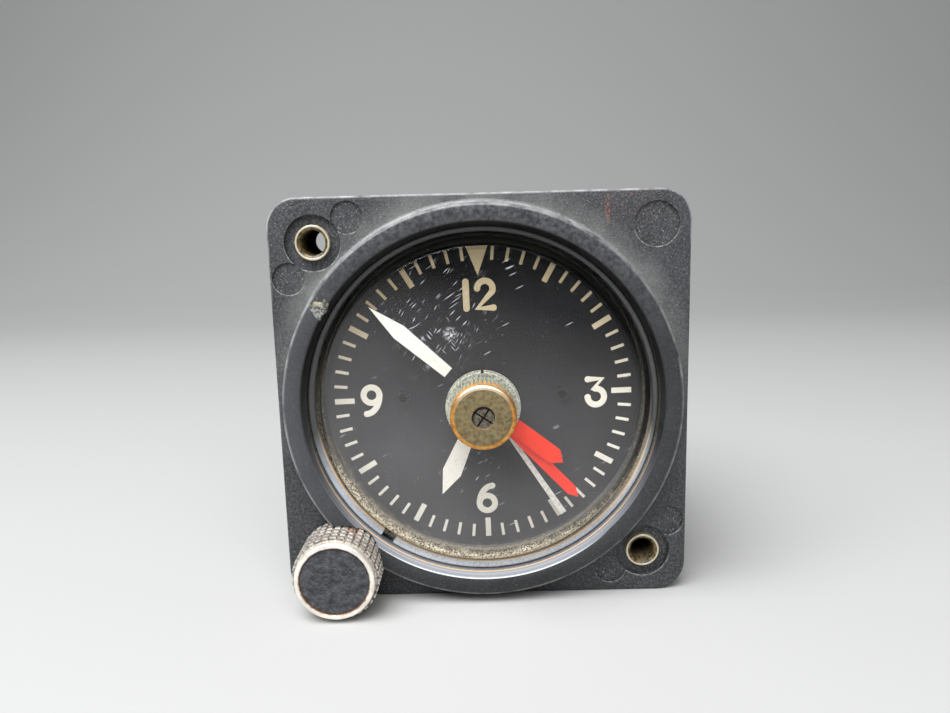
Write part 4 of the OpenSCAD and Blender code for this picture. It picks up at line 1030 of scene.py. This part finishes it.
# near the gap the ring stands further in: a second arc, moved off centre, cut to the half at the gap
inner = turned([(24.66, 0.12), (25.3, 0.12), (25.3, 0.85), (24.9, 0.84), (24.74, 0.74), (24.66, 0.5)],
               *around)
toward = Vector((math.cos(RING_GAP), 0, math.sin(RING_GAP)))
inner.location = -0.5 * MM * toward
settle(inner)
half = boxed((60, 60, 60), 30, 0, 0)
half.rotation_euler = (0, -RING_GAP, 0)
settle(half)
combine(inner, half, "INTERSECT")
placed(joined(ring, inner), "snap_ring", "case_body", "ring_black", ring_black, "retaining_ring")

# %% [markdown]
# ## Knobs
# Both knobs are turned first. The centre knob's edge is then cut by one long pyramid, repeated round
# it, so each groove is deep at the back and runs out before the front edge. The winding knob gets
# rows of square bumps: one block, narrowed at its top, repeated along the knob and then round it.

# %% Centre knob with run-out grooves
grip = turned([(3.85, 3.85), (4.53, 3.85), (4.53, 9.1), (4.51, 9.3), (4.44, 9.46), (4.32, 9.57),
               (4.14, 9.63), (3.9, 9.65), (1.6, 9.65), (1.55, 9.6), (1.55, 8.85), (0.81, 8.85),
               (0.81, 6.7), (3.85, 6.7)], 192)
bpy.ops.mesh.primitive_cone_add(vertices=4, radius1=0.5 * MM, depth=5.6 * MM, location=at(0, 4.53, 6.55),
                                rotation=(math.pi / 2, 0, 0))
groove = bpy.context.object
groove.scale = (0.56, 1, 1)
settle(groove)
ringed(groove, CENTRE_KNOB_TEETH)
combine(grip, groove)
combine(grip, rod(0, 2.6, 4.6, 6.75, 0.3, 24), "UNION")
placed(grip, "centre_grip", "pointer_drive", "tarnished_brass", patina, "pointer_knob", smooth=25)

# %% Winding knob with square bumps and a smooth rim
core = rod(0, 0, KNOB_BACK, KNOB_FRONT - 1.2, CORE_R, 102)
combine(core, rod(0, 0, KNOB_BACK - 1, KNOB_FRONT - 2, 1.2, 48))
rim = turned([(4.97, 7.3), (5.6, 7.3), (5.75, 7.5), (5.75, 8.22), (5.7, 8.37), (5.58, 8.49), (5.4, 8.55),
              (5.16, 8.54), (5.03, 8.46), (4.97, 8.32)], 112)
bump = boxed((0.98, 0.92, 0.5), 0, CORE_R, KNOB_BACK + 0.55)
bpy.ops.object.mode_set(mode="EDIT")
choose(bump, "faces", lambda face: face.normal.z > 0.9)
bpy.ops.transform.resize(value=(0.68, 0.55, 1))
bpy.ops.object.mode_set(mode="OBJECT")
change(bump, "ARRAY", count=6, use_relative_offset=False, use_constant_offset=True,
       constant_offset_displace=(0, -1.14 * MM, 0))
ringed(bump, 34)
wheel = joined(core, rim, bump)
wheel.location = at(*STEM)
placed(wheel, "winding_grip", "stem", "knob_metal", knurled, "winding_knob", smooth=25)

# %% [markdown]
# ## Stage
# A pale floor that curves up behind, soft lamps, and the camera where the photographer stood.

# %% Floor and backdrop
sweep = [(-1.2, -0.03), (0.35, -0.03)]
sweep += [(0.35 + 0.5 * math.sin(t), 0.47 - 0.5 * math.cos(t))
          for t in [math.radians(a) for a in range(9, 91, 9)]]
sweep += [(0.85, 1.6)]
floor = drawn([Vector((-1.6, y, z)) for y, z in sweep], closed=False)
bpy.ops.mesh.extrude_region_move(TRANSFORM_OT_translate={"value": (3.2, 0, 0)})
bpy.ops.object.mode_set(mode="OBJECT")
bpy.ops.object.shade_smooth()
floor.name = "studio_floor"
floor.data.materials.append(finish("paper, pale", "a9a9a7", 0.9)[0])

# %% Lamps and sky
def lamp(name, place, aim, size, power, tint=(1, 1, 1)):
    """A square lamp, size metres wide, that points at aim."""
    bpy.ops.object.light_add(type="AREA", location=place)
    light = bpy.context.object
    light.name = name
    light.data.size = size
    light.data.energy = power
    light.data.color = tint
    light.rotation_euler = (Vector(aim) - Vector(place)).to_track_quat("-Z", "Y").to_euler()


lamp("window_light", (-0.22, -0.27, 0.56), (0, 0, 0), 0.55, 10.0, (0.97, 0.98, 1))
lamp("front_fill", (0.12, -0.5, 0.48), (0, 0, 0), 0.45, 2.6)
world = bpy.data.worlds.new("studio")
bpy.context.scene.world = world
world.use_nodes = True
world.node_tree.nodes["Background"].inputs[0].default_value = (0.9, 0.93, 1, 1)
world.node_tree.nodes["Background"].inputs[1].default_value = 0.25
bpy.context.scene.view_settings.view_transform = "Standard"

# %% Camera at the photograph's place
bpy.ops.object.camera_add(location=(-0.000164, -0.109096, 0.025586),
                          rotation=[math.radians(a) for a in (80.199, 1.461, 0.182)])
camera = bpy.context.object
camera.data.lens = 28.967
camera.data.sensor_width = 36
camera.data.clip_start = 0.005
bpy.context.scene.camera = camera
